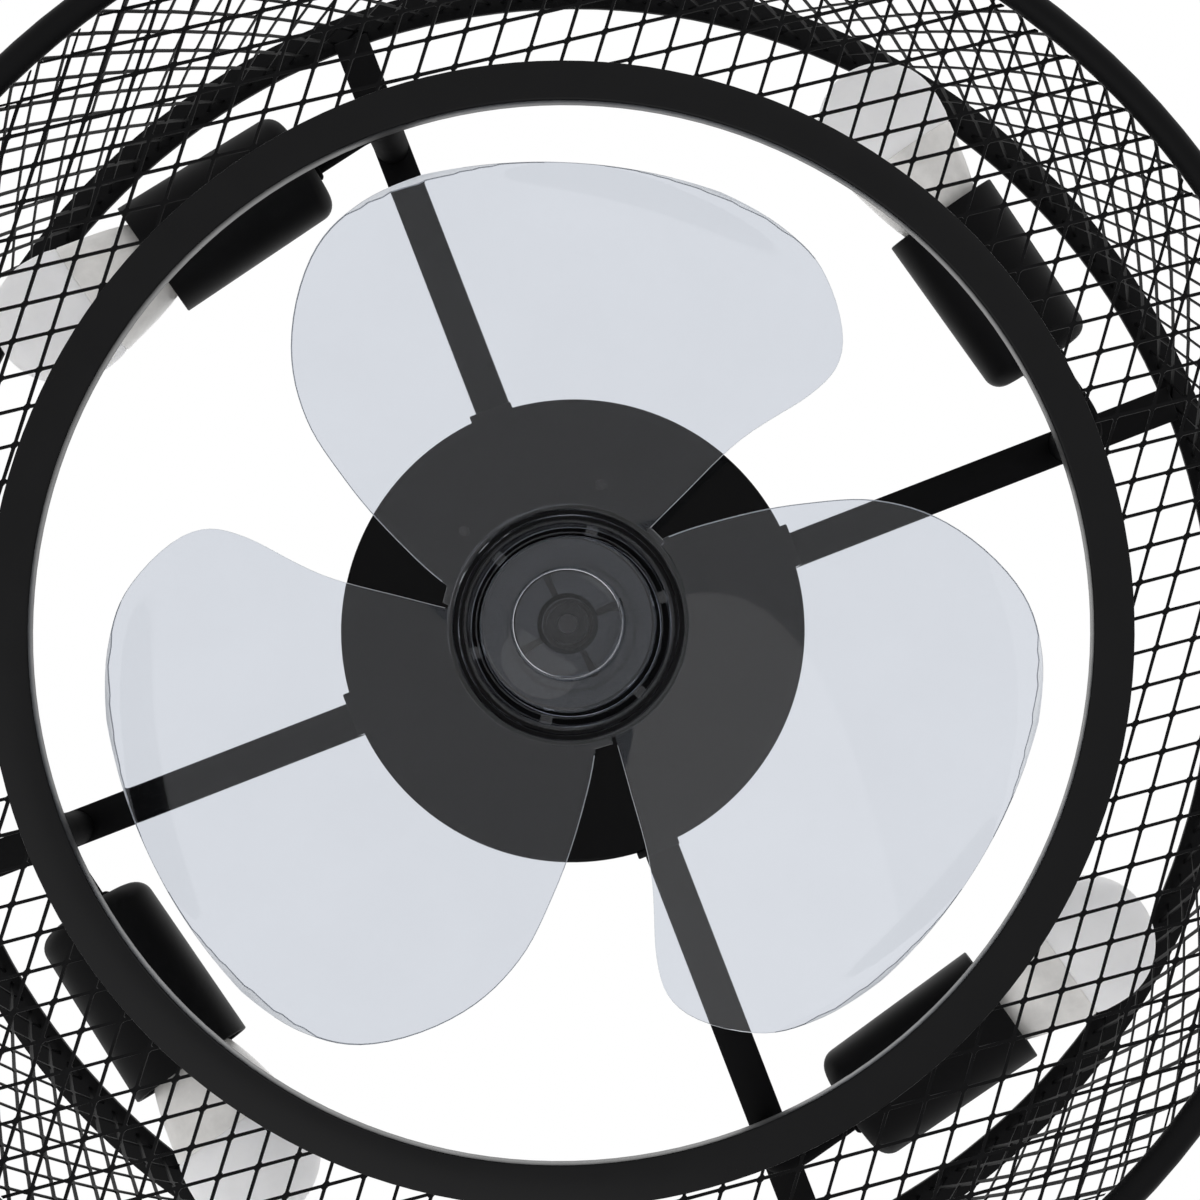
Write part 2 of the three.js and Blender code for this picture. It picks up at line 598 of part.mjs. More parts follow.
function propeller() {
  const webZ = hubFrontZ + HUB_WEB_DEPTH;
  const webTop = webZ + HUB_WEB_THICKNESS;
  const innerRadius = HUB_RADIUS - HUB_WALL;
  const hub = turned([
    point(0, bossFrontZ), point(HUB_BOSS_RADIUS, bossFrontZ), point(HUB_BOSS_RADIUS, webZ),
    point(innerRadius, webZ), point(innerRadius, hubFrontZ), point(HUB_RADIUS, hubFrontZ),
    point(HUB_RADIUS, hubBackZ), point(innerRadius, hubBackZ), point(innerRadius, webTop),
    point(HUB_BOSS_RADIUS, webTop), point(HUB_BOSS_RADIUS, hubBackZ), point(0, hubBackZ),
  ], LARGE_FACETS);
  const step = ringWall(HUB_STEP_RADIUS, HUB_STEP_RADIUS + HUB_STEP_WALL, hubFrontZ + HUB_STEP_DEPTH,
    webZ + SHEET_OVERLAP, LARGE_FACETS);
  const ribLength = HUB_STEP_RADIUS + SHEET_OVERLAP - HUB_BOSS_RADIUS / 2;
  const ribs = Array.from({ length: HUB_RIBS }, (_, i) => block(ribLength, HUB_RIB_THICKNESS, HUB_RIB_HEIGHT,
    HUB_BOSS_RADIUS / 2 + ribLength / 2, 0, webZ + SHEET_OVERLAP / 2 - HUB_RIB_HEIGHT / 2)
    .rotateZ(degrees(HUB_RIB_TURN) + (i * 2 * Math.PI) / HUB_RIBS));
  const bladeAngles = Array.from({ length: PROPELLER_BLADES }, (_, i) =>
    degrees(BLADE_TURN) + (i * 2 * Math.PI) / PROPELLER_BLADES);
  const blades = bladeAngles.map((angle) => blade().rotateZ(angle));
  const tabs = bladeAngles.map((angle) => block(HUB_TAB_REACH + HUB_WALL, HUB_TAB_WIDTH, HUB_TAB_HEIGHT,
    HUB_RADIUS + (HUB_TAB_REACH - HUB_WALL) / 2, 0, hubFrontZ + HUB_TAB_HEIGHT / 2)
    .rotateZ(angle + degrees(HUB_TAB_LEAD)));
  const bore = disc(SHAFT_RADIUS + SEAT, bossFrontZ - SHEET_OVERLAP, hubBackZ + SHEET_OVERLAP,
    SMALL_FACETS * 2);
  const slotDepth = DRIVE_PIN_DIAMETER + 2 * SEAT;
  const slot = block(2 * (HUB_BOSS_RADIUS + SHEET_OVERLAP), DRIVE_PIN_DIAMETER + 2 * SEAT,
    slotDepth + SHEET_OVERLAP, 0, 0, hubBackZ - slotDepth + (slotDepth + SHEET_OVERLAP) / 2);
  return cut(join(hub, step, ...ribs, ...blades, ...tabs), bore, slot);
}

const insertFlangeZ = insertTopZ - INSERT_FLANGE;
const insertFlangeRadius = INSERT_RADIUS + NUT_WALL;

function spinnerNut() {
  const sleeve = INSERT_RADIUS + SEAT;
  const skirtTop = nutRimZ + NUT_SKIRT;
  const skirtInner = NUT_RADIUS - NUT_WALL;
  const rimInnerZ = nutRimZ + NUT_WALL;
  const crownZ = nutFrontZ + NUT_WALL;
  const sleeveTop = insertFlangeZ - SEAT;
  return turned([
    point(0, nutFrontZ), point(NUT_FACE_RADIUS, nutFrontZ + NUT_FACE_FALL),
    point(NUT_CROWN_RADIUS, nutFrontZ + NUT_SHOULDER_FALL),
    point(NUT_CROWN_RADIUS + NUT_CROWN_FLARE, nutRimZ), point(skirtInner, nutRimZ),
    point(NUT_RADIUS, rimInnerZ), point(NUT_RADIUS, skirtTop),
    point(skirtInner, skirtTop), point(skirtInner, rimInnerZ), point(NUT_CROWN_RADIUS, rimInnerZ),
    point(NUT_CROWN_RADIUS - NUT_WALL, crownZ + NUT_SHOULDER_FALL),
    point(sleeve + NUT_WALL, crownZ + NUT_WALL), point(sleeve + NUT_WALL, sleeveTop),
    point(sleeve, sleeveTop), point(sleeve, crownZ), point(0, crownZ),
  ], LARGE_FACETS);
}

function spinnerInsert() {
  return turned([
    point(insertBoreRadius, shaftEndZ), point(INSERT_RADIUS, shaftEndZ), point(INSERT_RADIUS, insertFlangeZ),
    point(insertFlangeRadius, insertFlangeZ), point(insertFlangeRadius, insertTopZ),
    point(insertBoreRadius, insertTopZ),
  ], SMALL_FACETS * 2);
}

function addPropeller() {
  piece('propeller', propeller(), 'clear');
  piece('spinner_nut', spinnerNut(), 'clear');
  piece('spinner_insert', spinnerInsert(), 'black');
}

// ---------------------------------------------------------------- cage

const cageInnerRadius = CAGE_RADIUS - CAGE_TUBE_RADIUS;
const ringOuterRadius = OPENING_RADIUS + RING_BAND_WIDTH;
const ringTopZ = hoopZ + RING_SHEET;
const topRingZ = spokeTopZ + SEAT;

// A hoop of round tube, with a flat side of its section turned to each neighbour.
function outerHoop() {
  const half = Math.PI / CAGE_TUBE_SIDES;
  const section = Array.from({ length: CAGE_TUBE_SIDES }, (_, i) => {
    const [out, up] = around(CAGE_TUBE_RADIUS / Math.cos(half), (2 * i + 1) * half);
    return point(CAGE_RADIUS + out, hoopZ + up);
  });
  return turned(section, CAGE_FACETS);
}

// A flat ring that lies on the ends of the spokes.
function topRing() {
  const inner = CAGE_RADIUS - TOP_RING_INSET;
  return ringWall(inner, inner + RING_BAND_WIDTH, topRingZ, topRingZ + TOP_RING_SHEET, CAGE_FACETS);
}

function bottomRing() {
  return turned([
    point(OPENING_RADIUS, hoopZ), point(ringOuterRadius, hoopZ), point(ringOuterRadius, ringTopZ),
    point(OPENING_RADIUS + RING_SHEET, ringTopZ), point(OPENING_RADIUS + RING_SHEET, hoopZ + RING_LIP_HEIGHT),
    point(OPENING_RADIUS, hoopZ + RING_LIP_HEIGHT),
  ], CAGE_FACETS);
}

// The flat net: a thin annulus with diamond gaps, and a plain rim along both of its edges.
function flatNet() {
  const bottom = ringTopZ + SEAT;
  const top = bottom + NET_THICKNESS;
  const inner = (OPENING_RADIUS + RING_SHEET + SEAT) / Math.cos(Math.PI / CAGE_FACETS);
  const outer = cageInnerRadius - 2 * SEAT;
  const sheet = ringWall(inner, outer, bottom, top, CAGE_FACETS);
  const field = ringWall(inner + NET_RIM, outer - NET_RIM, bottom - SHEET_OVERLAP, top + SHEET_OVERLAP,
    CAGE_FACETS);
  const halfShort = FLAT_NET_CELL_SHORT / 2;
  const halfLong = FLAT_NET_CELL_LONG / 2;
  const slant = Math.atan2(halfLong, halfShort);
  const insetShort = NET_STRAND / 2 / Math.sin(slant);
  const insetLong = NET_STRAND / 2 / Math.cos(slant);
  const diamond = new THREE.Shape([
    point(0, insetShort - halfShort), point(halfLong - insetLong, 0),
    point(0, halfShort - insetShort), point(insetLong - halfLong, 0),
  ]);
  const depth = NET_THICKNESS + 2 * SHEET_OVERLAP;
  const gap = new THREE.ExtrudeGeometry(diamond, { depth, bevelEnabled: false })
    .translate(0, 0, bottom - SHEET_OVERLAP);
  const gaps = [];
  const columns = Math.ceil(CAGE_RADIUS / halfLong);
  const rows = Math.ceil(CAGE_RADIUS / halfShort);
  for (let column = -columns; column <= columns; column++) {
    for (let row = -rows; row <= rows; row++) {
      const x = column * halfLong;
      const y = row * halfShort;
      const reach = Math.hypot(x, y);
      const inField = reach > inner - halfLong && reach < outer + halfLong;
      if ((column + row) % 2 === 0 && inField) gaps.push(gap.clone().translate(x, y, 0));
    }
  }
  const cells = solid(mergeGeometries(gaps).rotateZ(degrees(FLAT_NET_LAY)));
  return geometryOf(solid(sheet).subtract(cells.intersect(solid(field))));
}

// The wall net: a thin cylinder of tall diamonds whose cut ends stand on the hoop and hang from the top ring.
function wallNet() {
  const bottom = hoopZ + CAGE_TUBE_RADIUS + SEAT;
  const top = topRingZ - SEAT;
  const step = Math.PI / WALL_NET_COLUMNS;
  const rise = (top - bottom) / WALL_NET_ROWS;
  const slant = Math.atan2(rise, CAGE_RADIUS * step);
  const halfTurn = NET_STRAND / 2 / Math.sin(slant) / CAGE_RADIUS;
  const halfRise = NET_STRAND / 2 / Math.cos(slant);
  const positions = [];
  const index = [];
  const known = new Map();

  // The number of the outer vertex at a turn and a height; the inner one has the next number.
  function vertex(turn, z) {
    const key = `${((turn + 2 * Math.PI) % (2 * Math.PI)).toFixed(6)} ${z.toFixed(4)}`;
    if (!known.has(key)) {
      known.set(key, positions.length / 3);
      for (const radius of [CAGE_RADIUS + NET_THICKNESS / 2, CAGE_RADIUS - NET_THICKNESS / 2]) {
        positions.push(radius * Math.cos(turn), radius * Math.sin(turn), z);
      }
    }
    return known.get(key);
  }
  function knot(column, row) {
    const turn = (column % (2 * WALL_NET_COLUMNS)) * step;
    const z = bottom + row * rise;
    return {
      east: vertex(turn + halfTurn, z),
      west: vertex(turn - halfTurn, z),
      north: row < WALL_NET_ROWS ? vertex(turn, z + halfRise) : null,
      south: row > 0 ? vertex(turn, z - halfRise) : null,
    };
  }
  function face(...loop) {
    for (let i = 1; i < loop.length - 1; i++) {
      index.push(loop[0], loop[i], loop[i + 1]);
      index.push(loop[0] + 1, loop[i + 1] + 1, loop[i] + 1);
    }
  }
  function edge(from, to) {
    index.push(to, from, from + 1, to, from + 1, to + 1);
  }

  for (let row = 0; row <= WALL_NET_ROWS; row++) {
    for (let column = row % 2; column < 2 * WALL_NET_COLUMNS; column += 2) {
      const here = knot(column, row);
      if (row === 0) {
        face(here.west, here.east, here.north);
        edge(here.west, here.east);
      } else if (row === WALL_NET_ROWS) {
        face(here.west, here.south, here.east);
        edge(here.east, here.west);
      } else {
        face(here.east, here.north, here.west, here.south);
      }
      if (row === WALL_NET_ROWS) continue;
      const right = knot(column + 1, row + 1);
      const left = knot(column + 2 * WALL_NET_COLUMNS - 1, row + 1);
      face(here.east, right.south, right.west, here.north);
      edge(here.east, right.south);
      edge(right.west, here.north);
      face(here.north, left.east, left.south, here.west);
      edge(here.north, left.east);
      edge(left.south, here.west);
    }
  }
  const geometry = new THREE.BufferGeometry();
  geometry.setAttribute('position', new THREE.Float32BufferAttribute(positions, 3));
  geometry.setIndex(index);
  return closed(geometry);
}

function spoke() {
  const start = HANGER_FLANGE_RADIUS + 2 * SEAT;
  const netFlatRadius = (CAGE_RADIUS - NET_THICKNESS / 2) * Math.cos(Math.PI / WALL_NET_COLUMNS / 2);
  const end = netFlatRadius - 2 * SEAT;
  const bar = block(end - start, SPOKE_WIDTH, SPOKE_THICKNESS, (start + end) / 2, 0, spokeMidZ);
  const bottom = spokeMidZ - SPOKE_THICKNESS;
  const top = spokeMidZ + SPOKE_THICKNESS;
  return cut(bar, screwHole(spokeScrewRadius, 0, bottom, top),
    screwHole(LAMP_RADIUS, 0, bottom, top));
}

function addCage() {
  piece('top_ring', topRing(), 'black');
  piece('outer_hoop', outerHoop(), 'black');
  piece('bottom_ring', bottomRing(), 'black');
  piece('bottom_mesh', flatNet(), 'black');
  piece('wall_mesh', wallNet(), 'black');
}

// ---------------------------------------------------------------- lamps

const cupX = ARM_REACH + SEAT;
const mouthX = cupX + CUP_LENGTH;
const holderFrontX = mouthX - HOLDER_RECESS;
const holderBackX = holderFrontX - HOLDER_LENGTH;
const holderFloorX = holderFrontX - HOLDER_BORE_DEPTH;
const nippleEndX = holderBackX + HOLDER_BACK_DEPTH;
const contactX = holderFloorX + SEAT;
const baseX = contactX + CONTACT_LENGTH + SEAT;
const bulbBodyX = baseX + BASE_LENGTH + SEAT;
const domeX = bulbBodyX + BULB_BODY_LENGTH + SEAT;
const holderBoreRadius = roundBore(BASE_RADIUS + SEAT, SMALL_FACETS);

// A route of straight runs between points, with a tube section square to each corner's bisector.
class Route extends THREE.Curve {
  constructor(points) {
    super();
    this.points = points;
  }
  getPoint(t) {
    const place = t * (this.points.length - 1);
    const i = Math.min(Math.floor(place + 1e-9), this.points.length - 2);
    return this.points[i].clone().lerp(this.points[i + 1], place - i);
  }
  getTangent(t) {
    const i = Math.round(t * (this.points.length - 1));
    const before = this.points[Math.max(i - 1, 0)];
    const here = this.points[i];
    const after = this.points[Math.min(i + 1, this.points.length - 1)];
    const incoming = here.clone().sub(before).normalize();
    const outgoing = after.clone().sub(here).normalize();
    return incoming.add(outgoing).normalize();
  }
  getPointAt(t) {
    return this.getPoint(t);
  }
  getTangentAt(t) {
    return this.getTangent(t);
  }
}

// The bent tube of a lamp, from the spoke down to its elbow at the origin and along +X to the cup.
function lampArm() {
  const droop = degrees(LAMP_DROOP);
  const along = new THREE.Vector3(Math.cos(droop), 0, -Math.sin(droop));
  const topZ = LAMP_DROP - SPOKE_THICKNESS / 2 - SEAT;
  const tangent = ARM_BEND_RADIUS * Math.tan((Math.PI / 2 - droop) / 2);
  const bend = new THREE.QuadraticBezierCurve3(new THREE.Vector3(0, 0, tangent), new THREE.Vector3(),
    along.clone().multiplyScalar(tangent));
  const route = new Route([new THREE.Vector3(0, 0, topZ), ...bend.getPoints(ARM_BEND_STEPS),
    along.clone().multiplyScalar(ARM_REACH)]);
  const section = new THREE.Shape().absarc(0, 0, ARM_RADIUS, 0, 2 * Math.PI);
  section.holes.push(new THREE.Path().absarc(0, 0, ARM_RADIUS - ARM_WALL, 0, 2 * Math.PI, true));
  const tube = new THREE.ExtrudeGeometry(section, {
    steps: route.points.length - 1, curveSegments: ARM_SIDES / 2, extrudePath: route, bevelEnabled: false,
  });
  const plugRadius = ARM_RADIUS - ARM_WALL / 2;
  const plug = disc(plugRadius, topZ - ARM_PLUG_DEPTH, topZ, ARM_SIDES);
  const flangeX = ARM_REACH - ARM_FLANGE_DEPTH;
  const end = turnedAlongX([
    point(NIPPLE_BORE_RADIUS, flangeX), point(plugRadius, flangeX), point(plugRadius, ARM_REACH),
    point(NIPPLE_RADIUS, ARM_REACH), point(NIPPLE_RADIUS, nippleEndX), point(NIPPLE_BORE_RADIUS, nippleEndX),
  ], SMALL_FACETS).rotateY(droop);
  const screwPocket = screwHole(0, 0, topZ - ARM_PLUG_DEPTH - SHEET_OVERLAP, topZ + SHEET_OVERLAP);
  return cut(join(tube, plug, end), screwPocket);
}

function lampCup() {
  const throat = NIPPLE_RADIUS + SEAT;
  const backX = cupX + CUP_CORNER;
  const corner = CUP_BACK_RADIUS - CUP_CORNER;
  return turnedAlongX([
    point(throat, cupX),
    ...roundedCorner(corner, backX, CUP_CORNER, -90, 0),
    point(CUP_MOUTH_RADIUS, mouthX), point(CUP_MOUTH_RADIUS - CUP_WALL, mouthX),
    ...roundedCorner(corner, backX, CUP_CORNER - CUP_WALL, 0, -90),
    point(throat, cupX + CUP_WALL),
  ], CUP_FACETS);
}

function lampholder() {
  const throat = NIPPLE_RADIUS + SEAT;
  return turnedAlongX([
    point(throat, holderBackX), point(HOLDER_BACK_RADIUS, holderBackX),
    point(HOLDER_RADIUS, holderBackX + HOLDER_BACK_TAPER), point(HOLDER_RADIUS, holderFrontX),
    point(holderBoreRadius, holderFrontX), point(holderBoreRadius, holderFloorX),
    point(throat, holderFloorX),
  ], SMALL_FACETS);
}

function bulbBase() {
  return turnedAlongX([
    point(0, baseX), point(BASE_RADIUS - BASE_CHAMFER, baseX), point(BASE_RADIUS, baseX + BASE_CHAMFER),
    point(BASE_RADIUS, baseX + BASE_LENGTH), point(0, baseX + BASE_LENGTH),
  ], SMALL_FACETS);
}

function bulbContact() {
  return disc(CONTACT_RADIUS, contactX, contactX + CONTACT_LENGTH, SMALL_FACETS).rotateY(Math.PI / 2);
}

function bulbBody() {
  const end = bulbBodyX + BULB_BODY_LENGTH;
  return turnedAlongX([
    point(0, bulbBodyX), point(BULB_NECK_RADIUS, bulbBodyX),
    point(BULB_FLARE_RADIUS, bulbBodyX + BULB_FLARE_LENGTH),
    point(BULB_SHOULDER_RADIUS, bulbBodyX + BULB_SHOULDER_LENGTH),
    point(BULB_SEAM_RADIUS, end), point(0, end),
  ], BULB_FACETS);
}

// The dome widens a little past the seam and closes in a half round.
function bulbDome() {
  const centreX = domeX + DOME_LENGTH - BULB_RADIUS;
  const outer = roundedCorner(0, centreX, BULB_RADIUS, 0, 90, DOME_STEPS);
  const inner = roundedCorner(0, centreX, BULB_RADIUS - DOME_WALL, 90, 0, DOME_STEPS);
  return turnedAlongX([
    point(BULB_SEAM_RADIUS, domeX), ...outer, ...inner, point(BULB_SEAM_RADIUS - DOME_WALL, domeX),
  ], BULB_FACETS);
}

function addSpokesAndLamps() {
  const shapes = {
    spoke: spoke(), arm: lampArm(), cup: lampCup(), holder: lampholder(),
    contact: bulbContact(), base: bulbBase(), body: bulbBody(), dome: bulbDome(),
    spokeScrew: screw(SMALL_SCREW_LENGTH, spokeTopZ + SEAT).translate(spokeScrewRadius, 0, 0),
    armScrew: screw(SMALL_SCREW_LENGTH, spokeTopZ + SEAT).translate(LAMP_RADIUS, 0, 0),
  };
  spokeAngles.forEach((angle, i) => {
    const number = i + 1;
    const spokeGroup = new THREE.Group();
    spokeGroup.rotation.z = angle;
    const elbow = new THREE.Group();
    elbow.position.set(LAMP_RADIUS, 0, elbowZ);
    elbow.rotation.z = degrees(LAMP_YAW);
    const lampAxis = new THREE.Group();
    lampAxis.rotation.y = degrees(LAMP_DROOP);
    fan.add(spokeGroup);
    spokeGroup.add(elbow);
    elbow.add(lampAxis);
    piece(`spoke_${number}`, shapes.spoke, 'black', spokeGroup);
    piece(`spoke_screw_${number}`, shapes.spokeScrew, 'steel', spokeGroup);
    piece(`arm_screw_${number}`, shapes.armScrew, 'steel', spokeGroup);
    piece(`lamp_arm_${number}`, shapes.arm, 'black', elbow);
    piece(`lamp_cup_${number}`, shapes.cup, 'black', lampAxis);
    piece(`lampholder_${number}`, shapes.holder, 'whitePlastic', lampAxis);
    piece(`bulb_contact_${number}`, shapes.contact, 'steel', lampAxis);
    piece(`bulb_base_${number}`, shapes.base, 'steel', lampAxis);
    piece(`bulb_body_${number}`, shapes.body, 'bulbBody', lampAxis);
    piece(`bulb_dome_${number}`, shapes.dome, 'bulbDome', lampAxis);
  });
}

addCeilingEnd();
addMotor();
addPropeller();
addCage();
addSpokesAndLamps();

export default fan;
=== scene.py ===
"""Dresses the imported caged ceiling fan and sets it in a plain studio, seen from below."""

import math

import bmesh
import bpy
from mathutils import Matrix, Vector


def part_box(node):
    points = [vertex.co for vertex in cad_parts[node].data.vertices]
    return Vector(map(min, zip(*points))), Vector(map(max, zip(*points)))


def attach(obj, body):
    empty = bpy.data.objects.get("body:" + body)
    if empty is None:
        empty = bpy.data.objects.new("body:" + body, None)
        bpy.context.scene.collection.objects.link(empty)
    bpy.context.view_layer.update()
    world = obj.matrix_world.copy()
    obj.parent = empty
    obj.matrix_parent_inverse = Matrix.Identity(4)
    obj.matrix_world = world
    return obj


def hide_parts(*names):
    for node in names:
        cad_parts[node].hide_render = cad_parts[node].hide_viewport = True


bl_info = {
    "name": "Caged Ceiling Fan",
    "version": (1, 0, 0),
    "blender": (4, 5, 0),
    "location": "View3D > Sidebar > Ceiling Fan",
    "description": "Models a caged ceiling fan with four lamps over its frame, and lights it",
    "category": "Add Mesh",
}

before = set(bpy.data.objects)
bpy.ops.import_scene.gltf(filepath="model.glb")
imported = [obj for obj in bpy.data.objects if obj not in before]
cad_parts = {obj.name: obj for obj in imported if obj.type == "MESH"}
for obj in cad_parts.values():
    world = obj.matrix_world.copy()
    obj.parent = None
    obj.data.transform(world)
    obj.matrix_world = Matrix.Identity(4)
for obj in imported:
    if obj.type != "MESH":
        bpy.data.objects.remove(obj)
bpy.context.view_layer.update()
MM = 0.001  # constants and outlines are in millimetres where they don't say otherwise, objects in metres
FULL_TURN = 2 * math.pi
SPOKE_TURNS = [i * FULL_TURN / 4 for i in range(4)]


# ------------------------ sizes and colours


def length(name, description, default):
    return bpy.props.FloatProperty(
        name=name, description=description, default=default, min=0.0, unit="LENGTH", subtype="DISTANCE",
        precision=5,
    )


def angle(name, description, degrees):
    return bpy.props.FloatProperty(
        name=name, description=description, default=math.radians(degrees), unit="ROTATION"
    )


def colour(name, description, default):
    return bpy.props.FloatVectorProperty(
        name=name, description=description, default=default, size=3, min=0.0, max=1.0, subtype="COLOR"
    )


def group(name, description, kind):
    return bpy.props.PointerProperty(type=kind, name=name, description=description)


class FanCageSizes(bpy.types.PropertyGroup):
    radius: length("Cage radius", "From the axis to the middle of the hoop's tube", 0.324)
    tube: length("Tube radius", "Radius of the hoop's tube", 0.006)
    top_inset: length("Top ring inset", "From the wall net in to the top ring's inner edge", 0.0052)
    top_sheet: length("Top ring sheet", "Thickness of the flat top ring", 0.003)
    opening: length("Opening radius", "Inner radius of the flat bottom ring", 0.217)
    band: length("Ring width", "Width of the flat bottom and top rings", 0.0167)
    ring_sheet: length("Ring sheet", "Sheet thickness of the bottom ring", 0.002)
    lip: length("Ring lip", "Height of the bottom ring's inner lip", 0.009)
    cell_long: length("Cell length", "Long diagonal of a cell of the expanded metal", 0.028)
    cell_short: length("Cell width", "Short diagonal of a cell of the expanded metal", 0.016)
    strand: length("Strand width", "Width of a strand of the expanded metal", 0.00128)
    sheet: length("Net thickness", "Thickness of the expanded metal", 0.0009)
    twist: length("Strand twist", "How far a strand's edges stand out of the sheet", 0.00035)
    lay: angle("Net lay", "Direction of the long diagonals in the flat net", -22.6)


class FanMotorSizes(bpy.types.PropertyGroup):
    cover_radius: length("Cover radius", "Radius of the glossy motor cover", 0.106)
    cover_rim: length("Cover rim", "Height of the motor cover's rim", 0.012)
    tab_width: length("Tab width", "Width of the tabs on the cover's edge", 0.02)
    tab_reach: length("Tab reach", "How far the tabs stand out of the cover's edge", 0.0025)
    nose_radius: length("Nose radius", "Radius of the round nose under the cover", 0.022)
    nose_length: length("Nose length", "Length of the nose under the cover", 0.016)
    housing_corner: length("Housing corner", "Rounding of the housing's upper edge", 0.008)


class FanPropellerSizes(bpy.types.PropertyGroup):
    tip_radius: length("Tip radius", "Radius of the propeller at its blade tips", 0.206)
    thickness: length("Blade thickness", "Thickness of a blade", 0.002)
    root_twist: length("Root twist", "Rise of a blade's root in one radian", 0.018)
    tip_twist: length("Tip twist", "Rise of a blade's tip in one radian", 0.040)
    camber: length("Camber", "Bulge of a blade between its two edges", 0.005)
    turn: angle("Blade turn", "Direction of the first blade's axis", -78.9)
    rib_turn: angle("Rib turn", "Direction of the first rib in the hub", -5.4)
    tab_lead: angle("Tab lead", "From a blade's axis to the tab before its leading edge", 54.3)
    hub_radius: length("Hub radius", "Radius of the propeller's hub", 0.051)
    hub_wall: length("Hub wall", "Wall thickness of the hub", 0.0022)
    nut_radius: length("Nut radius", "Radius of the spinner nut", 0.037)
    crown_radius: length("Crown radius", "Radius of the spinner nut's raised crown", 0.0235)


class FanLampSizes(bpy.types.PropertyGroup):
    radius: length("Lamp radius", "From the fan's axis to the elbow of a lamp's arm", 0.262)
    drop: length("Lamp drop", "From the middle of a spoke down to the elbow", 0.0604)
    yaw: angle("Lamp yaw", "Turn of a lamp from its spoke's direction", -103.9)
    droop: angle("Lamp droop", "How far a lamp points down", 4.0)
    arm_radius: length("Arm radius", "Radius of the arm's tube", 0.0085)
    bend: length("Bend radius", "Radius of the arm's bend", 0.016)
    reach: length("Arm reach", "From the elbow to the back of the cup", 0.040)
    cup_mouth: length("Cup mouth", "Outer radius of the cup's mouth", 0.0282)
    cup_back: length("Cup back", "Outer radius of the cup's closed end", 0.027)
    cup_length: length("Cup length", "Length of the cup", 0.085)
    cup_wall: length("Cup wall", "Wall thickness of the cup", 0.0018)
    seam_radius: length("Bulb seam", "Radius where the bulb's body meets its dome", 0.028)
    bulb_radius: length("Bulb radius", "Largest radius of the bulb's dome", 0.0302)


class FanFinishes(bpy.types.PropertyGroup):
    satin: colour("Satin black", "Powder coat on the cage, the spokes and the cups", (0.0032, 0.0032, 0.0035))
    gloss: colour("Gloss black", "Enamel on the motor cover", (0.0016, 0.0016, 0.0018))
    clear: colour("Clear plastic", "Tint of the propeller and the spinner nut", (0.67, 0.70, 0.755))
    # Painted highlight: a pale opaque colour for the light that the clear blades' edges gather.
    edge: colour("Painted edge highlight", "Edges of the clear blades", (0.74, 0.77, 0.81))
    collar: colour("Bulb body", "Plastic of a bulb's conical body", (0.76, 0.745, 0.72))
    diffuser: colour("Bulb dome", "Frosted plastic of a bulb's dome", (0.95, 0.945, 0.97))
    steel: colour("Zinc", "Plated steel of the screws and the hanger", (0.52, 0.53, 0.55))
    # Partly painted shade: the shaft end's steel is darkened to the shade it lies in at the middle of the nut.
    # The small screws under the cover share this dark steel.
    shaft: colour("Dark steel and shade", "Shaft end and the small screws under the cover", (0.022, 0.018, 0.016))
    copper: colour("Windings", "Varnished copper of the motor", (0.36, 0.15, 0.07))
    ceramic: colour("Lampholder", "Lampholder and receiver", (0.62, 0.61, 0.58))
    floor: colour("Floor", "Studio floor", (0.80, 0.80, 0.81))


class CeilingFanSettings(bpy.types.PropertyGroup):
    cage: group("Cage", "Sizes of the cage", FanCageSizes)
    motor: group("Motor", "Sizes of the motor", FanMotorSizes)
    propeller: group("Propeller", "Sizes of the propeller and its nut", FanPropellerSizes)
    lamp: group("Lamps", "Sizes of the lamps", FanLampSizes)
    finish: group("Finishes", "Colours of the finishes", FanFinishes)


# ------------------------ materials


SHADE_STOPS = (0.3, 0.7)  # noise values at which a finish is darkest and lightest
NOISE_RANGE = (0.25, 0.75)  # noise values between which its gloss changes
SMOOTHEST = 0.02


def settings():
    return bpy.context.scene.ceiling_fan


def node_of(tree, kind, **values):
    """A new shader node; each value is set on the node itself, or else on its input of that name."""
    made = tree.nodes.new(kind)
    for key, value in values.items():
        if hasattr(made, key):
            setattr(made, key, value)
        else:
            made.inputs[key.replace("_", " ")].default_value = value
    return made


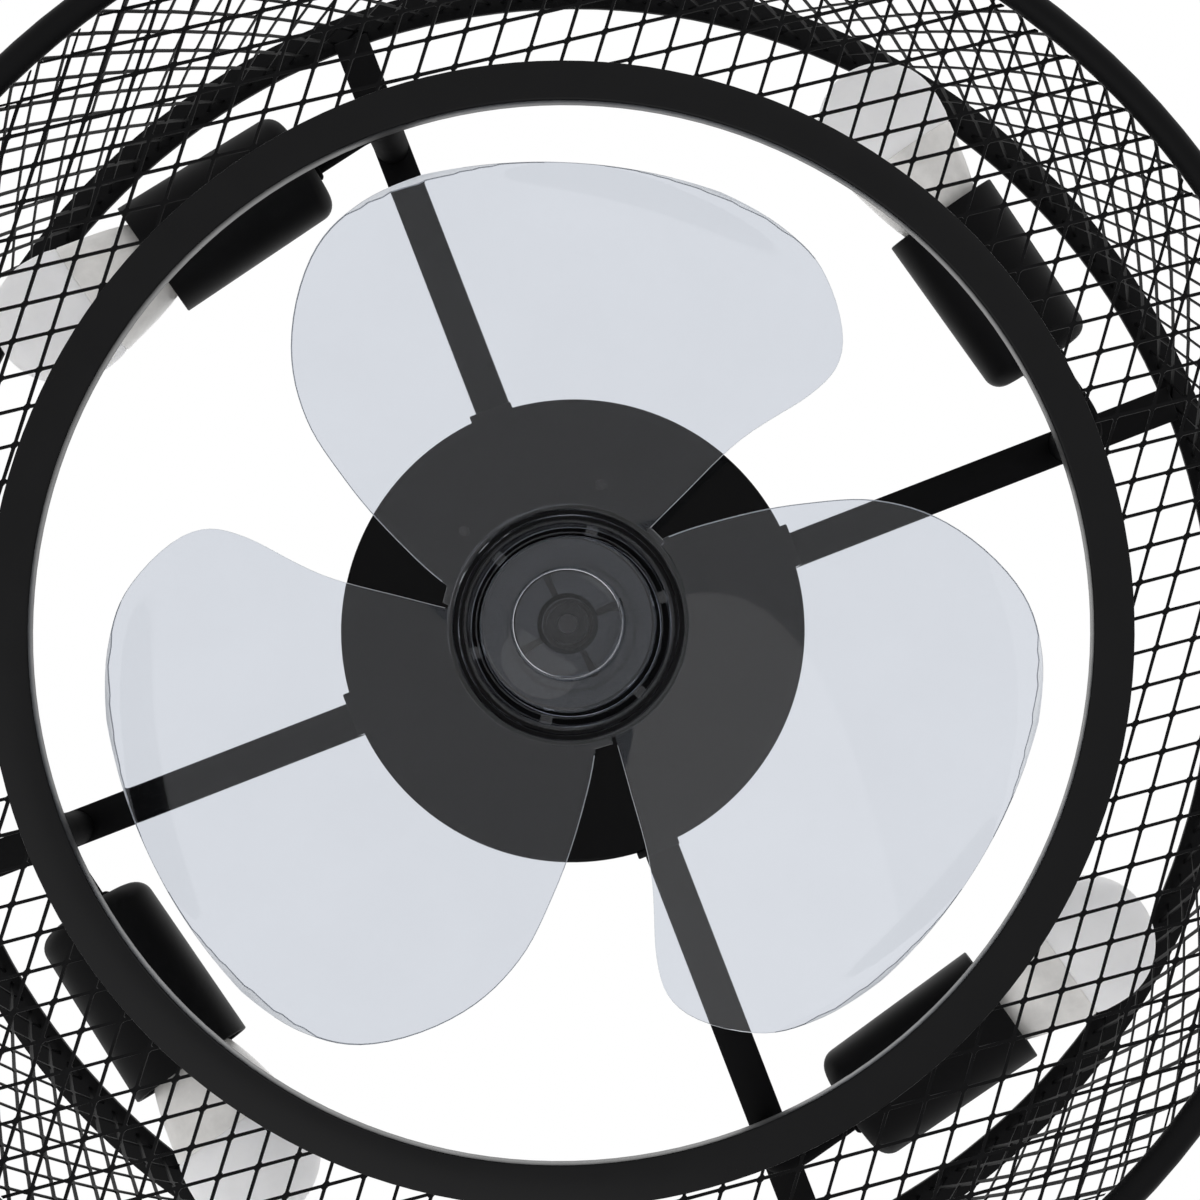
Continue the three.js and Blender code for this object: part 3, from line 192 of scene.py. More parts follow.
def finish_material(
    name, tint, rough, tone=0.13, spread=0.12, grain=900.0, bump=0.08, depth=0.00012, mottle=38.0, **shader
):
    """A painted, moulded or plated surface: uneven gloss and tone at a hand's scale, and a fine grain."""
    made = bpy.data.materials.get(name)
    if made:
        return made
    made = bpy.data.materials.new(name)
    made.use_nodes = True
    tree = made.node_tree
    surface = tree.nodes["Principled BSDF"]
    place = node_of(tree, "ShaderNodeTexCoord")
    clouds = node_of(tree, "ShaderNodeTexNoise", Scale=mottle, Detail=4.0, Roughness=0.6)
    fine = node_of(tree, "ShaderNodeTexNoise", Scale=grain, Detail=2.0, Roughness=0.5)
    shades = node_of(tree, "ShaderNodeValToRGB")
    gloss = node_of(tree, "ShaderNodeMapRange")
    relief = node_of(tree, "ShaderNodeBump", Strength=bump, Distance=depth)
    for stop, position, share in zip(shades.color_ramp.elements, SHADE_STOPS, (1 - tone, 1 + tone)):
        stop.position = position
        stop.color = (*[min(1, c * share) for c in tint], 1)
    gloss.inputs["From Min"].default_value, gloss.inputs["From Max"].default_value = NOISE_RANGE
    gloss.inputs["To Min"].default_value = max(SMOOTHEST, rough * (1 - spread))
    gloss.inputs["To Max"].default_value = min(1, rough * (1 + spread))
    link = tree.links.new
    link(place.outputs["Object"], clouds.inputs["Vector"])
    link(place.outputs["Object"], fine.inputs["Vector"])
    link(clouds.outputs["Fac"], shades.inputs["Fac"])
    link(clouds.outputs["Fac"], gloss.inputs["Value"])
    link(shades.outputs["Color"], surface.inputs["Base Color"])
    link(gloss.outputs["Result"], surface.inputs["Roughness"])
    link(fine.outputs["Fac"], relief.inputs["Height"])
    link(relief.outputs["Normal"], surface.inputs["Normal"])
    for key, value in shader.items():
        surface.inputs[key.replace("_", " ")].default_value = value
    made.diffuse_color = (*tint, 1)
    return made


def black_coat(name, rough, bump, specular, depth=0.00012):
    return finish_material(
        name, settings().finish.satin, rough, grain=1400.0, bump=bump, depth=depth, Specular_IOR_Level=specular
    )


def satin_black():
    return black_coat("powder_coat", 0.5, 0.16, 0.08, depth=0.0001)


def smooth_black():
    return black_coat("smooth_coat", 0.3, 0.08, 0.14)


def matte_black():
    return black_coat("matte_coat", 0.8, 0.12, 0.03)


def gloss_black():
    return finish_material(
        "black_enamel", settings().finish.gloss, 0.09, spread=0.3, grain=260.0, bump=0.012, depth=0.0001,
        Specular_IOR_Level=0.08,
    )


def clear_plastic():
    return finish_material(
        "clear_moulding", settings().finish.clear, 0.03, tone=0.012, spread=0.3, grain=60.0, bump=0.02,
        mottle=20.0, Transmission_Weight=1.0, IOR=1.4,
    )


def edge_painted_highlight():
    """A pale opaque finish on the narrow edge of a clear moulding: a painted highlight for the light that the
    edge gathers.
    """
    return finish_material("edge_painted_highlight", settings().finish.edge, 0.3, tone=0.05, grain=500.0, bump=0.04)


def zinc():
    return finish_material(
        "zinc_plate", settings().finish.steel, 0.34, spread=0.25, grain=700.0, bump=0.1, mottle=90.0,
        Metallic=1.0,
    )


# Dark steel that paints the shade on the shaft end. The small screws and the drive pin use it too.
def dark_steel_and_shade():
    return finish_material("dark_steel_and_shade", settings().finish.shaft, 0.42, grain=1100.0, bump=0.12, Metallic=0.4)


def windings():
    return finish_material(
        "copper_windings", settings().finish.copper, 0.4, grain=1500.0, bump=0.6, Metallic=0.8
    )


def white_plastic():
    return finish_material("pale_plastic", settings().finish.ceramic, 0.38, grain=800.0, Specular_IOR_Level=0.4)


def bulb_collar():
    return finish_material("collar_plastic", settings().finish.collar, 0.36, grain=600.0, mottle=60.0)


def bulb_diffuser():
    return finish_material(
        "frosted_dome", settings().finish.diffuser, 0.5, tone=0.04, grain=900.0, bump=0.05, mottle=50.0,
        IOR=1.4, Subsurface_Weight=0.3, Subsurface_Radius=(0.01, 0.01, 0.012), Subsurface_Scale=0.6,
    )


# ------------------------ mesh helpers


CREASE = 34.0  # degrees; sharper edges are rounded


def spun(points, steps=96):
    """A solid turned about Z from a closed outline of (radius, height) points, in millimetres."""
    bm = bmesh.new()
    corners = [bm.verts.new((r * MM, 0, z * MM)) for r, z in points]
    edges = [bm.edges.new((a, b)) for a, b in zip(corners, corners[1:] + corners[:1])]
    bmesh.ops.spin(
        bm, geom=corners + edges, cent=(0, 0, 0), axis=(0, 0, 1), angle=FULL_TURN, steps=steps, use_merge=True
    )
    bmesh.ops.remove_doubles(bm, verts=bm.verts, dist=1e-6)
    bmesh.ops.dissolve_degenerate(bm, dist=1e-7, edges=bm.edges)
    bmesh.ops.recalc_face_normals(bm, faces=bm.faces)
    return bm


def soften(bm, width, segments=2, limit=CREASE):
    """Rounds every edge sharper than the limit in degrees; width is in millimetres."""
    steepest = math.radians(limit)
    sharp = [e for e in bm.edges if len(e.link_faces) == 2 and e.calc_face_angle(0) > steepest]
    bmesh.ops.bevel(
        bm, geom=sharp, offset=width * MM, offset_type="OFFSET", affect="EDGES",
        segments=segments, profile=0.5, clamp_overlap=True, material=-1,
    )
    return bm


def bar(size, place, turn=0.0):
    """A block with its size and middle in millimetres, turned about Z."""
    bm = bmesh.new()
    bmesh.ops.create_cube(bm, size=1.0)
    bmesh.ops.scale(bm, vec=Vector(size) * MM, verts=bm.verts)
    bmesh.ops.translate(bm, vec=Vector(place) * MM, verts=bm.verts)
    bmesh.ops.rotate(bm, cent=(0, 0, 0), matrix=Matrix.Rotation(turn, 3, "Z"), verts=bm.verts)
    return bm


def gather(*parts):
    """Several meshes as one."""
    whole = bmesh.new()
    for part in parts:
        held = bpy.data.meshes.new("held")
        part.to_mesh(held)
        part.free()
        whole.from_mesh(held)
        bpy.data.meshes.remove(held)
    return whole


def placed(bm, matrix):
    bmesh.ops.transform(bm, matrix=matrix, verts=bm.verts)
    return bm


def trim(bm, point, outward):
    """Cuts away what lies beyond a plane."""
    bmesh.ops.bisect_plane(
        bm, geom=list(bm.verts) + list(bm.edges) + list(bm.faces), dist=1e-6,
        plane_co=point, plane_no=outward, clear_outer=True,
    )


def piece(name, bm, material, body, *nodes, smooth=38.0):
    """The finished piece: an object at the origin, with its place in its mesh; smooth is in degrees."""
    mesh = bpy.data.meshes.new(name)
    bm.to_mesh(mesh)
    bm.free()
    mesh.polygons.foreach_set("use_smooth", [True] * len(mesh.polygons))
    mesh.set_sharp_from_angle(angle=math.radians(smooth))
    made = bpy.data.objects.new(name, mesh)
    bpy.context.scene.collection.objects.link(made)
    mesh.materials.append(material)
    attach(made, body)
    if nodes:
        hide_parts(*nodes)
    return made


def carve(made, *cutters, operation="DIFFERENCE"):
    """Cuts the cutters out of a piece, or joins them to it, and keeps the result as its mesh."""
    for bm in cutters:
        mesh = bpy.data.meshes.new("cutter")
        bm.to_mesh(mesh)
        bm.free()
        tool = bpy.data.objects.new("cutter", mesh)
        bpy.context.scene.collection.objects.link(tool)
        cut = made.modifiers.new("cut", "BOOLEAN")
        cut.operation = operation
        cut.solver = "EXACT"
        cut.object = tool
        bpy.context.view_layer.update()
        seen = made.evaluated_get(bpy.context.evaluated_depsgraph_get())
        kept = bpy.data.meshes.new_from_object(seen)
        made.modifiers.remove(cut)
        old = made.data
        made.data = kept
        kept.name = made.name
        bpy.data.meshes.remove(old)
        bpy.data.objects.remove(tool)
        bpy.data.meshes.remove(mesh)
    return made


def disc(radius, low, high):
    bm = bmesh.new()
    bmesh.ops.create_cone(
        bm, cap_ends=True, segments=24, radius1=radius * MM, radius2=radius * MM, depth=(high - low) * MM
    )
    bmesh.ops.translate(bm, vec=(0, 0, (low + high) / 2 * MM), verts=bm.verts)
    return bm


def at(bm, x, y, z=0.0):
    bmesh.ops.translate(bm, vec=Vector((x, y, z)) * MM, verts=bm.verts)
    return bm


def arc(centre, radius, start, stop, steps=6):
    """Points of an arc in the outline plane, with its angles in degrees."""
    points = []
    for i in range(steps + 1):
        turn = math.radians(start + (stop - start) * i / steps)
        points.append((centre[0] + radius * math.cos(turn), centre[1] + radius * math.sin(turn)))
    return points


def torus(radius, tube, z, steps=144, sides=18):
    return spun(arc((radius, z), tube, 0, 360 - 360 / sides, sides - 1), steps)


TO_X = Matrix.Rotation(math.pi / 2, 4, "Y")  # lays a shape spun about Z along +X


# ------------------------ heights and fits, in millimetres

SEAT = 0.3  # gap between two pieces that bear on each other
SPOKE_SHEET = 5.0
HUB_HEIGHT = 44.0
HOOP_Z = -240.0
TOP_RING_Z = -49.8
SPOKE_MID_Z = TOP_RING_Z - SEAT - SPOKE_SHEET / 2
HANGER_LOW_Z = SPOKE_MID_Z - SPOKE_SHEET / 2
HOUSING_TOP_Z = HANGER_LOW_Z - SEAT
HOUSING_BOTTOM_Z = HOUSING_TOP_Z - 77
COVER_FLOOR_Z = HOUSING_BOTTOM_Z - SEAT
COVER_BOTTOM_Z = COVER_FLOOR_Z - 2.5
BLADE_Z = -189.7
HUB_FRONT_Z = BLADE_Z - HUB_HEIGHT / 2
HUB_BACK_Z = BLADE_Z + HUB_HEIGHT / 2
WEB_Z = HUB_FRONT_Z + 30
WEB_TOP_Z = WEB_Z + 2.4
NUT_RIM_Z = HUB_FRONT_Z - 5
NUT_FRONT_Z = NUT_RIM_Z - 7
NUT_BOSS_Z = -196.5  # upper end of the boss that holds the nut's insert


# ------------------------ expanded metal


WALL_ROWS = 8
WALL_FOOT = 5.6  # from the hoop's centre line up to the wall net's lower edge
NET_EDGE = 0.97  # from the hoop's centre line in to the flat net's outer edge, in radii of the hoop's tube
NET_ROOM = 0.4  # from the bottom ring's sheet up to the flat net's strands
OUTLINE_SIDES = 120
CORNER_SHARE = 0.8  # rounding of an opening's corners, in widths of a strand
TILT_GAIN = 2.4  # how soon a strand's tilt is full, going out from an opening's middle


def diamond_sheet(columns, rows, long, short):
    """A flat sheet of diamonds standing on their long diagonals, centred on the origin in XY, in metres."""
    bm = bmesh.new()
    bmesh.ops.create_grid(bm, x_segments=columns, y_segments=rows, size=0.5)
    bmesh.ops.scale(bm, vec=(columns * short, rows * long, 1), verts=bm.verts)
    borders = list(bm.edges)
    bmesh.ops.poke(bm, faces=bm.faces, offset=0.0)
    inner = [e for e in borders if e.is_valid and len(e.link_faces) == 2]
    bmesh.ops.dissolve_edges(bm, edges=inner, use_verts=False, use_face_split=False)
    return bm


def open_diamonds(bm, strand, twist):
    """Opens every whole diamond, rounds its corners and tilts the strands between the openings."""
    whole = [f for f in bm.faces if len(f.verts) == 4]
    rest = [f for f in bm.faces if len(f.verts) != 4]
    bmesh.ops.delete(bm, geom=rest, context="FACES")
    bmesh.ops.inset_individual(bm, faces=whole, thickness=strand / 2, depth=0.0, use_even_offset=True)
    heights = [v.co.y for v in whole[0].verts]
    half = (max(heights) - min(heights)) / 2
    for f in whole:
        middle = f.calc_center_median()
        for v in f.verts:
            v.co.z += twist * max(-1.0, min(1.0, (middle.x - v.co.x) / half * TILT_GAIN))
    corners = list({v for f in whole for v in f.verts})
    bmesh.ops.bevel(
        bm, geom=corners, offset=strand * CORNER_SHARE, offset_type="OFFSET", affect="VERTICES", segments=1,
        profile=0.5, clamp_overlap=True, material=-1,
    )
    openings = [f for f in bm.faces if len(f.verts) == 8]
    bmesh.ops.delete(bm, geom=openings, context="FACES")
    return bm


def thicken(bm, depth):
    bmesh.ops.recalc_face_normals(bm, faces=bm.faces)
    bmesh.ops.solidify(bm, geom=list(bm.faces), thickness=depth)
    bmesh.ops.recalc_face_normals(bm, faces=bm.faces)
    return bm


class CEILINGFAN_OT_wall_net(bpy.types.Operator):
    """Bends a sheet of expanded metal into the wall of the cage"""

    bl_idname = "ceilingfan.wall_net"
    bl_label = "Wall net"

    def execute(self, context):
        cage = settings().cage
        columns = round(FULL_TURN * cage.radius / cage.cell_short)
        short = FULL_TURN * cage.radius / columns
        bm = diamond_sheet(columns, WALL_ROWS, cage.cell_long, short)
        open_diamonds(bm, cage.strand, cage.twist)
        low, high = (HOOP_Z + WALL_FOOT) * MM, TOP_RING_Z * MM
        bmesh.ops.translate(bm, vec=(0, (low + high) / 2, 0), verts=bm.verts)
        trim(bm, (0, low, 0), (0, -1, 0))
        trim(bm, (0, high, 0), (0, 1, 0))
        thicken(bm, cage.sheet)
        for v in bm.verts:
            turn = v.co.x / cage.radius
            reach = cage.radius + v.co.z
            v.co = (reach * math.cos(turn), reach * math.sin(turn), v.co.y)
        bmesh.ops.remove_doubles(bm, verts=bm.verts, dist=2e-5)
        bmesh.ops.recalc_face_normals(bm, faces=bm.faces)
        piece("cage_wall_net", bm, satin_black(), "frame", "wall_mesh", smooth=30)
        return {"FINISHED"}


class CEILINGFAN_OT_flat_net(bpy.types.Operator):
    """Lays a flat sheet of expanded metal between the bottom ring and the hoop"""

    bl_idname = "ceilingfan.flat_net"
    bl_label = "Flat net"

    def execute(self, context):
        cage = settings().cage
        outer = cage.radius - cage.tube * NET_EDGE
        inner = cage.opening + cage.ring_sheet + 2 * SEAT * MM
        columns = 2 * math.ceil(outer / cage.cell_short)
        rows = 2 * math.ceil(outer / cage.cell_long)
        bm = diamond_sheet(columns, rows, cage.cell_long, cage.cell_short)
        margin = cage.cell_long * 0.75
        near, beyond = inner - margin, outer + margin
        far = [f for f in bm.faces if not near < f.calc_center_median().length < beyond]
        bmesh.ops.delete(bm, geom=far, context="FACES")
        open_diamonds(bm, cage.strand, cage.twist)
        for i in range(OUTLINE_SIDES):
            turn = i * FULL_TURN / OUTLINE_SIDES
            outward = Vector((math.cos(turn), math.sin(turn), 0))
            trim(bm, outward * outer, outward)
        inside = [f for f in bm.faces if f.calc_center_median().to_2d().length < inner]
        bmesh.ops.delete(bm, geom=inside, context="FACES")
        for v in bm.verts:
            reach = v.co.to_2d().length
            if reach < inner:
                v.co.x *= inner / reach
                v.co.y *= inner / reach
        thicken(bm, cage.sheet)
        height = (HOOP_Z + NET_ROOM) * MM + cage.ring_sheet + cage.twist + cage.sheet / 2
        placed(bm, Matrix.Translation((0, 0, height)) @ Matrix.Rotation(cage.lay - math.pi / 2, 4, "Z"))
        piece("cage_flat_net", bm, satin_black(), "frame", "bottom_mesh", smooth=30)
        return {"FINISHED"}


# ------------------------ cage rings and spokes


class CEILINGFAN_OT_rings(bpy.types.Operator):
    """Turns the hoop, the top ring and the flat bottom ring with its inner lip"""

    bl_idname = "ceilingfan.rings"
    bl_label = "Hoop and rings"

    def execute(self, context):
        cage = settings().cage
        radius, tube = cage.radius / MM, cage.tube / MM
        piece("cage_hoop", torus(radius, tube, HOOP_Z), satin_black(), "frame", "outer_hoop")
        inner, sheet = cage.opening / MM, cage.ring_sheet / MM
        outer, lip = inner + cage.band / MM, cage.lip / MM
        chamfer, floor = 0.8, HOOP_Z + sheet
        ring = spun([
            (inner + chamfer, HOOP_Z), (outer, HOOP_Z), (outer, floor), (inner + sheet, floor),
            (inner + sheet, HOOP_Z + lip), (inner, HOOP_Z + lip), (inner, HOOP_Z + chamfer),
        ], 160)
        soften(ring, 0.35, 2, 40)
        piece("cage_bottom_ring", ring, smooth_black(), "frame", "bottom_ring")
        near = radius - cage.top_inset / MM
        far, top = near + cage.band / MM, TOP_RING_Z + cage.top_sheet / MM
        strip = spun([(near, TOP_RING_Z), (far, TOP_RING_Z), (far, top), (near, top)], 160)
        piece("cage_top_ring", soften(strip, 0.5, 2, 40), satin_black(), "frame", "top_ring")
        return {"FINISHED"}


HEAD_RADIUS = 4.0
HEAD_HEIGHT = 2.4
HEAD_DOME = ((1, 0.35), (0.86, 0.72), (0.55, 0.94))  # shares of a head's radius and height
SHANK_RADIUS = 2.0
SHANK_LENGTH = 10.0
RECESS_SLOT = (4.2, 0.8, 1.6)
RECESS_DROP = 0.4  # from the top of a head down to the middle of its recess


def pan_head(face):
    """A pan head screw that points down; face is the height of its bearing face."""
    tip = face - SHANK_LENGTH
    dome = [(HEAD_RADIUS * out, face + HEAD_HEIGHT * up) for out, up in HEAD_DOME]
    return spun([
        (0, tip), (SHANK_RADIUS - 0.7, tip), (SHANK_RADIUS, tip + 1), (SHANK_RADIUS, face),
        (HEAD_RADIUS, face), *dome, (0, face + HEAD_HEIGHT),
    ], 28)


def cross_recess(face):
    """The two slots to cut into such a head."""
    middle = (0, 0, face + HEAD_HEIGHT - RECESS_DROP)
    return [bar(RECESS_SLOT, middle), bar(RECESS_SLOT, middle, math.pi / 2)]


class CEILINGFAN_OT_spokes(bpy.types.Operator):
    """Shapes the four flat spokes and the screws that hold them and the lamps"""

    bl_idname = "ceilingfan.spokes"
    bl_label = "Spokes"

    def execute(self, context):
        low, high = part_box("spoke_1")
        size, middle = (high - low) / MM, (low + high) / 2 / MM
        for number, turn in enumerate(SPOKE_TURNS, 1):
            spoke = soften(bar(size, middle), 0.7, 3)
            placed(spoke, Matrix.Rotation(turn, 4, "Z"))
            piece(f"flat_spoke_{number}", spoke, satin_black(), "frame", f"spoke_{number}")
            for kind in ("spoke_screw", "arm_screw"):
                low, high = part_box(f"{kind}_{number}")
                place = (low + high) / 2 / MM
                face = high.z / MM - HEAD_HEIGHT
                screw = piece(f"{kind}_{number}_head", at(pan_head(face), place.x, place.y), zinc(), "frame",
                              f"{kind}_{number}", smooth=30)
                carve(screw, *[at(slot, place.x, place.y) for slot in cross_recess(face)])
        return {"FINISHED"}


# ------------------------ ceiling end and motor


CANOPY_RADIUS = 80.0
CANOPY_FOOT = 71.0  # radius of the canopy at its lower corner
CANOPY_CORNER = 9.0
CANOPY_WALL = 1.5
CANOPY_THROAT = 13.3
CANOPY_SCREW_Z = -12.0
CANOPY_HOLE_X = 77.4
CANOPY_HEAD_X = 77.6  # bearing face of a screw's head on the canopy
HANGER_FLANGE = 34.0
HANGER_RADIUS = 12.0
HANGER_BORE = 9.0
HANGER_TOP_Z = -3.3
HANGER_FLANGE_SHEET = 4.0


class CEILINGFAN_OT_ceiling_end(bpy.types.Operator):
    """Turns the canopy, with a screw at each side, and the hanger"""

    bl_idname = "ceilingfan.ceiling_end"
    bl_label = "Ceiling end"

    def execute(self, context):
        low = TOP_RING_Z
        corner = (CANOPY_FOOT - CANOPY_CORNER, low + CANOPY_CORNER)
        shell = spun([
            (CANOPY_RADIUS, -SEAT), *arc(corner, CANOPY_CORNER, 0, -90, 8), (CANOPY_THROAT, low),
            (CANOPY_THROAT, low + CANOPY_WALL), *arc(corner, CANOPY_CORNER - CANOPY_WALL, -90, 0, 8),
            (CANOPY_RADIUS - CANOPY_WALL, -SEAT),
        ], 112)
        soften(shell, 0.4, 2, 50)
        canopy = piece("ceiling_canopy", shell, satin_black(), "frame", "canopy")
        for side in (1, -1):
            hole_place = Matrix.Translation(Vector((side * CANOPY_HOLE_X, 0, CANOPY_SCREW_Z)) * MM)
            carve(canopy, placed(disc(2.6, -6, 6), hole_place @ TO_X))
            head_place = Matrix.Translation(Vector((side * CANOPY_HEAD_X, 0, CANOPY_SCREW_Z)) * MM)
            turned = head_place @ Matrix.Rotation(side * math.pi / 2, 4, "Y")
            head = piece(f"canopy_screw_{'right' if side > 0 else 'left'}", placed(pan_head(0.0), turned),
                         satin_black(), "frame", smooth=30)
            carve(head, *[placed(slot, turned) for slot in cross_recess(0.0)])
        flange_top = HANGER_LOW_Z + HANGER_FLANGE_SHEET
        tube = spun([
            (HANGER_BORE, HANGER_LOW_Z), (HANGER_FLANGE, HANGER_LOW_Z), (HANGER_FLANGE, flange_top),
            (HANGER_RADIUS, flange_top), (HANGER_RADIUS, HANGER_TOP_Z), (HANGER_BORE, HANGER_TOP_Z),
        ], 64)
        soften(tube, 0.6, 2, 50)
        piece("hanger_pipe", tube, zinc(), "frame", "hanger_tube")
        return {"FINISHED"}


HOUSING_INSET = 1.8  # from the cover's edge in to the housing
HOUSING_WALL = 2.0
COVER_BORE = 7.0
COVER_WALL = 1.5
BOSS_RADIUS = 67.3  # from the fan's axis to the cover's two small screw bosses
BOSS_TURNS = (-58.6, -117.4)  # their directions from +X, in degrees


class CEILINGFAN_OT_motor(bpy.types.Operator):
    """Turns the motor's housing and its glossy cover, with its tabs, bosses and small screws"""

    bl_idname = "ceilingfan.motor"
    bl_label = "Motor"

    def execute(self, context):
        motor = settings().motor
        radius, rim, corner = motor.cover_radius / MM, motor.cover_rim / MM, motor.housing_corner / MM
        outer = radius - HOUSING_INSET
        turn_in = (outer - corner, HOUSING_TOP_Z - corner)
        housing = spun([
            (0, HOUSING_TOP_Z), *arc(turn_in, corner, 90, 0, 8), (outer, HOUSING_BOTTOM_Z),
            (outer - HOUSING_WALL, HOUSING_BOTTOM_Z), *arc(turn_in, corner - HOUSING_WALL, 0, 90, 8),
            (0, HOUSING_TOP_Z - HOUSING_WALL),
        ], 128)
        piece("motor_pan", housing, satin_black(), "frame", "motor_housing")
        nose, nose_z = motor.nose_radius / MM, COVER_BOTTOM_Z - motor.nose_length / MM
        rim_top, rim_in = COVER_BOTTOM_Z + rim, radius - COVER_WALL
        cover = spun([
            (COVER_BORE, nose_z), *arc((nose - 2, nose_z + 2), 2, -90, 0, 4), (nose, COVER_BOTTOM_Z - 1.2),
            (nose + 1.2, COVER_BOTTOM_Z), *arc((rim_in, COVER_BOTTOM_Z + COVER_WALL), COVER_WALL, -90, 0, 5),
            (radius, rim_top), (rim_in, rim_top), (rim_in, COVER_FLOOR_Z), (COVER_BORE, COVER_FLOOR_Z),
        ], 160)
        tabs = []
        width, reach = motor.tab_width / MM, motor.tab_reach / MM
        for turn in SPOKE_TURNS:
            size = (reach + 1.0, width, rim)
            place = (radius + (reach - 1.0) / 2, 0, COVER_BOTTOM_Z + rim / 2)
            tabs.append(soften(bar(size, place, turn), 0.7, 3))
        piece("glossy_cover", gather(cover, *tabs), gloss_black(), "frame", "motor_cover")
        for number, degrees in enumerate(BOSS_TURNS, 1):
            turn = math.radians(degrees)
            place = (BOSS_RADIUS * math.cos(turn), BOSS_RADIUS * math.sin(turn))
            boss = spun([(0, COVER_BOTTOM_Z - 1.2), *arc((4.8, COVER_BOTTOM_Z - 0.6), 0.6, -90, 0, 3),
                         (5.8, COVER_BOTTOM_Z + 1), (0, COVER_BOTTOM_Z + 1)], 32)
            cup = disc(3.4, COVER_BOTTOM_Z - 3, COVER_BOTTOM_Z - 0.2)
            carve(piece(f"cover_boss_{number}", at(boss, *place), gloss_black(), "frame"), at(cup, *place))
            head = spun([(0, COVER_BOTTOM_Z - 1), *arc((2.0, COVER_BOTTOM_Z - 0.6), 0.4, -90, 0, 3),
                         (2.4, COVER_BOTTOM_Z), (0, COVER_BOTTOM_Z)], 24)
            piece(f"cover_screw_{number}", at(head, *place), dark_steel_and_shade(), "frame")
        return {"FINISHED"}


# ------------------------ propeller

# Each edge of a blade, as (share of the way from hub to tip, degrees from the blade's axis).
TRAILING_EDGE = [
    (0, -63.5), (0.174, -54.7), (0.385, -47.5), (0.577, -42),
    (0.749, -34.8), (0.917, -24.5), (0.98, -16.5), (1, -8.2),
]
LEADING_EDGE = [
    (0, 48.2), (0.161, 50.2), (0.385, 51.8), (0.641, 55.6),
    (0.802, 54.2), (0.942, 45.3), (0.986, 37.5), (1, 28.8),
]
BLADES = 3
RIBS = 4
CATCHES = 6
RIB_SIZE = (9.8, 2.4, 7)
RIB_RADIUS = 15.8
CATCH_SIZE = (4.6, 5, 6)
CATCH_RADIUS = 41.6
CATCH_LEAD = 10.0  # degrees from the first rib to the first catch
TAB_SIZE = (3.5, 9, 4)
PIN_ROOM = (26, 3.6, 4.6)  # size of the slot for the drive pin
BORE = 4.3
HUB_BOSS = 11.0
INNER_STEP = (39.2, 40.2)  # radii of the steps inside the hub
MIDDLE_STEP = (43.0, 44.6)
OUTER_STEP = 46.4
# Painted shade: dark rings in the hub's recesses stand in for the shade seen through the clear moulding.
SHADE_BANDS = ((36, 38.9), (40.5, 42.7), (44.9, 46.1), (46.9, 48.5))  # their inner and outer radii
BAND_THICKNESS = 0.8
CLEAR_CREASE = 12.0  # degrees; a higher limit bends the view through the clear moulding at its edges
EDGE_TILT = 0.9  # a face whose normal rises less than this is part of a blade's edge
EDGE_START = 0.004  # how far outside the hub the light edge begins, in metres


def along_edge(edge, share):
    """A point of a smooth curve through an edge's points."""
    place = share * (len(edge) - 1)
    i = min(int(place), len(edge) - 2)
    t = place - i
    before, start, stop, after = (edge[max(0, min(len(edge) - 1, i + k))] for k in (-1, 0, 1, 2))
    point = []
    for a, b, c, d in zip(before, start, stop, after):
        lead, follow = (c - a) / 2, (d - b) / 2
        cubic, square = 2 * b - 2 * c + lead + follow, 3 * c - 3 * b - 2 * lead - follow
        point.append(cubic * t**3 + square * t**2 + lead * t + b)
    return point


def blade(rows=44, columns=30):
    """One blade about the +X axis, a thin plate between its two curved edges."""
    sizes = settings().propeller
    root = sizes.hub_radius - sizes.hub_wall / 2
    bm = bmesh.new()
    bmesh.ops.create_grid(bm, x_segments=rows, y_segments=columns, size=0.5)
    for v in bm.verts:
        outward, across = v.co.x + 0.5, v.co.y + 0.5
        back, front = along_edge(TRAILING_EDGE, outward), along_edge(LEADING_EDGE, outward)
        span = back[0] + (front[0] - back[0]) * across
        radius = root + (sizes.tip_radius - root) * span
        turn = math.radians(back[1] + (front[1] - back[1]) * across)
        twist = sizes.root_twist + (sizes.tip_twist - sizes.root_twist) * span
        rise = twist * turn + sizes.camber * span * (1 - (2 * across - 1) ** 2)
        v.co = (radius * math.cos(turn), radius * math.sin(turn), BLADE_Z * MM + rise)
    bmesh.ops.translate(bm, vec=(0, 0, -sizes.thickness / 2), verts=bm.verts)
    bmesh.ops.recalc_face_normals(bm, faces=bm.faces)
    sheet = bmesh.ops.extrude_face_region(bm, geom=list(bm.faces))
    lifted = [v for v in sheet["geom"] if isinstance(v, bmesh.types.BMVert)]
    bmesh.ops.translate(bm, vec=(0, 0, sizes.thickness), verts=lifted)
    bmesh.ops.recalc_face_normals(bm, faces=bm.faces)
    soften(bm, 0.5, 2, 50)
    return bm


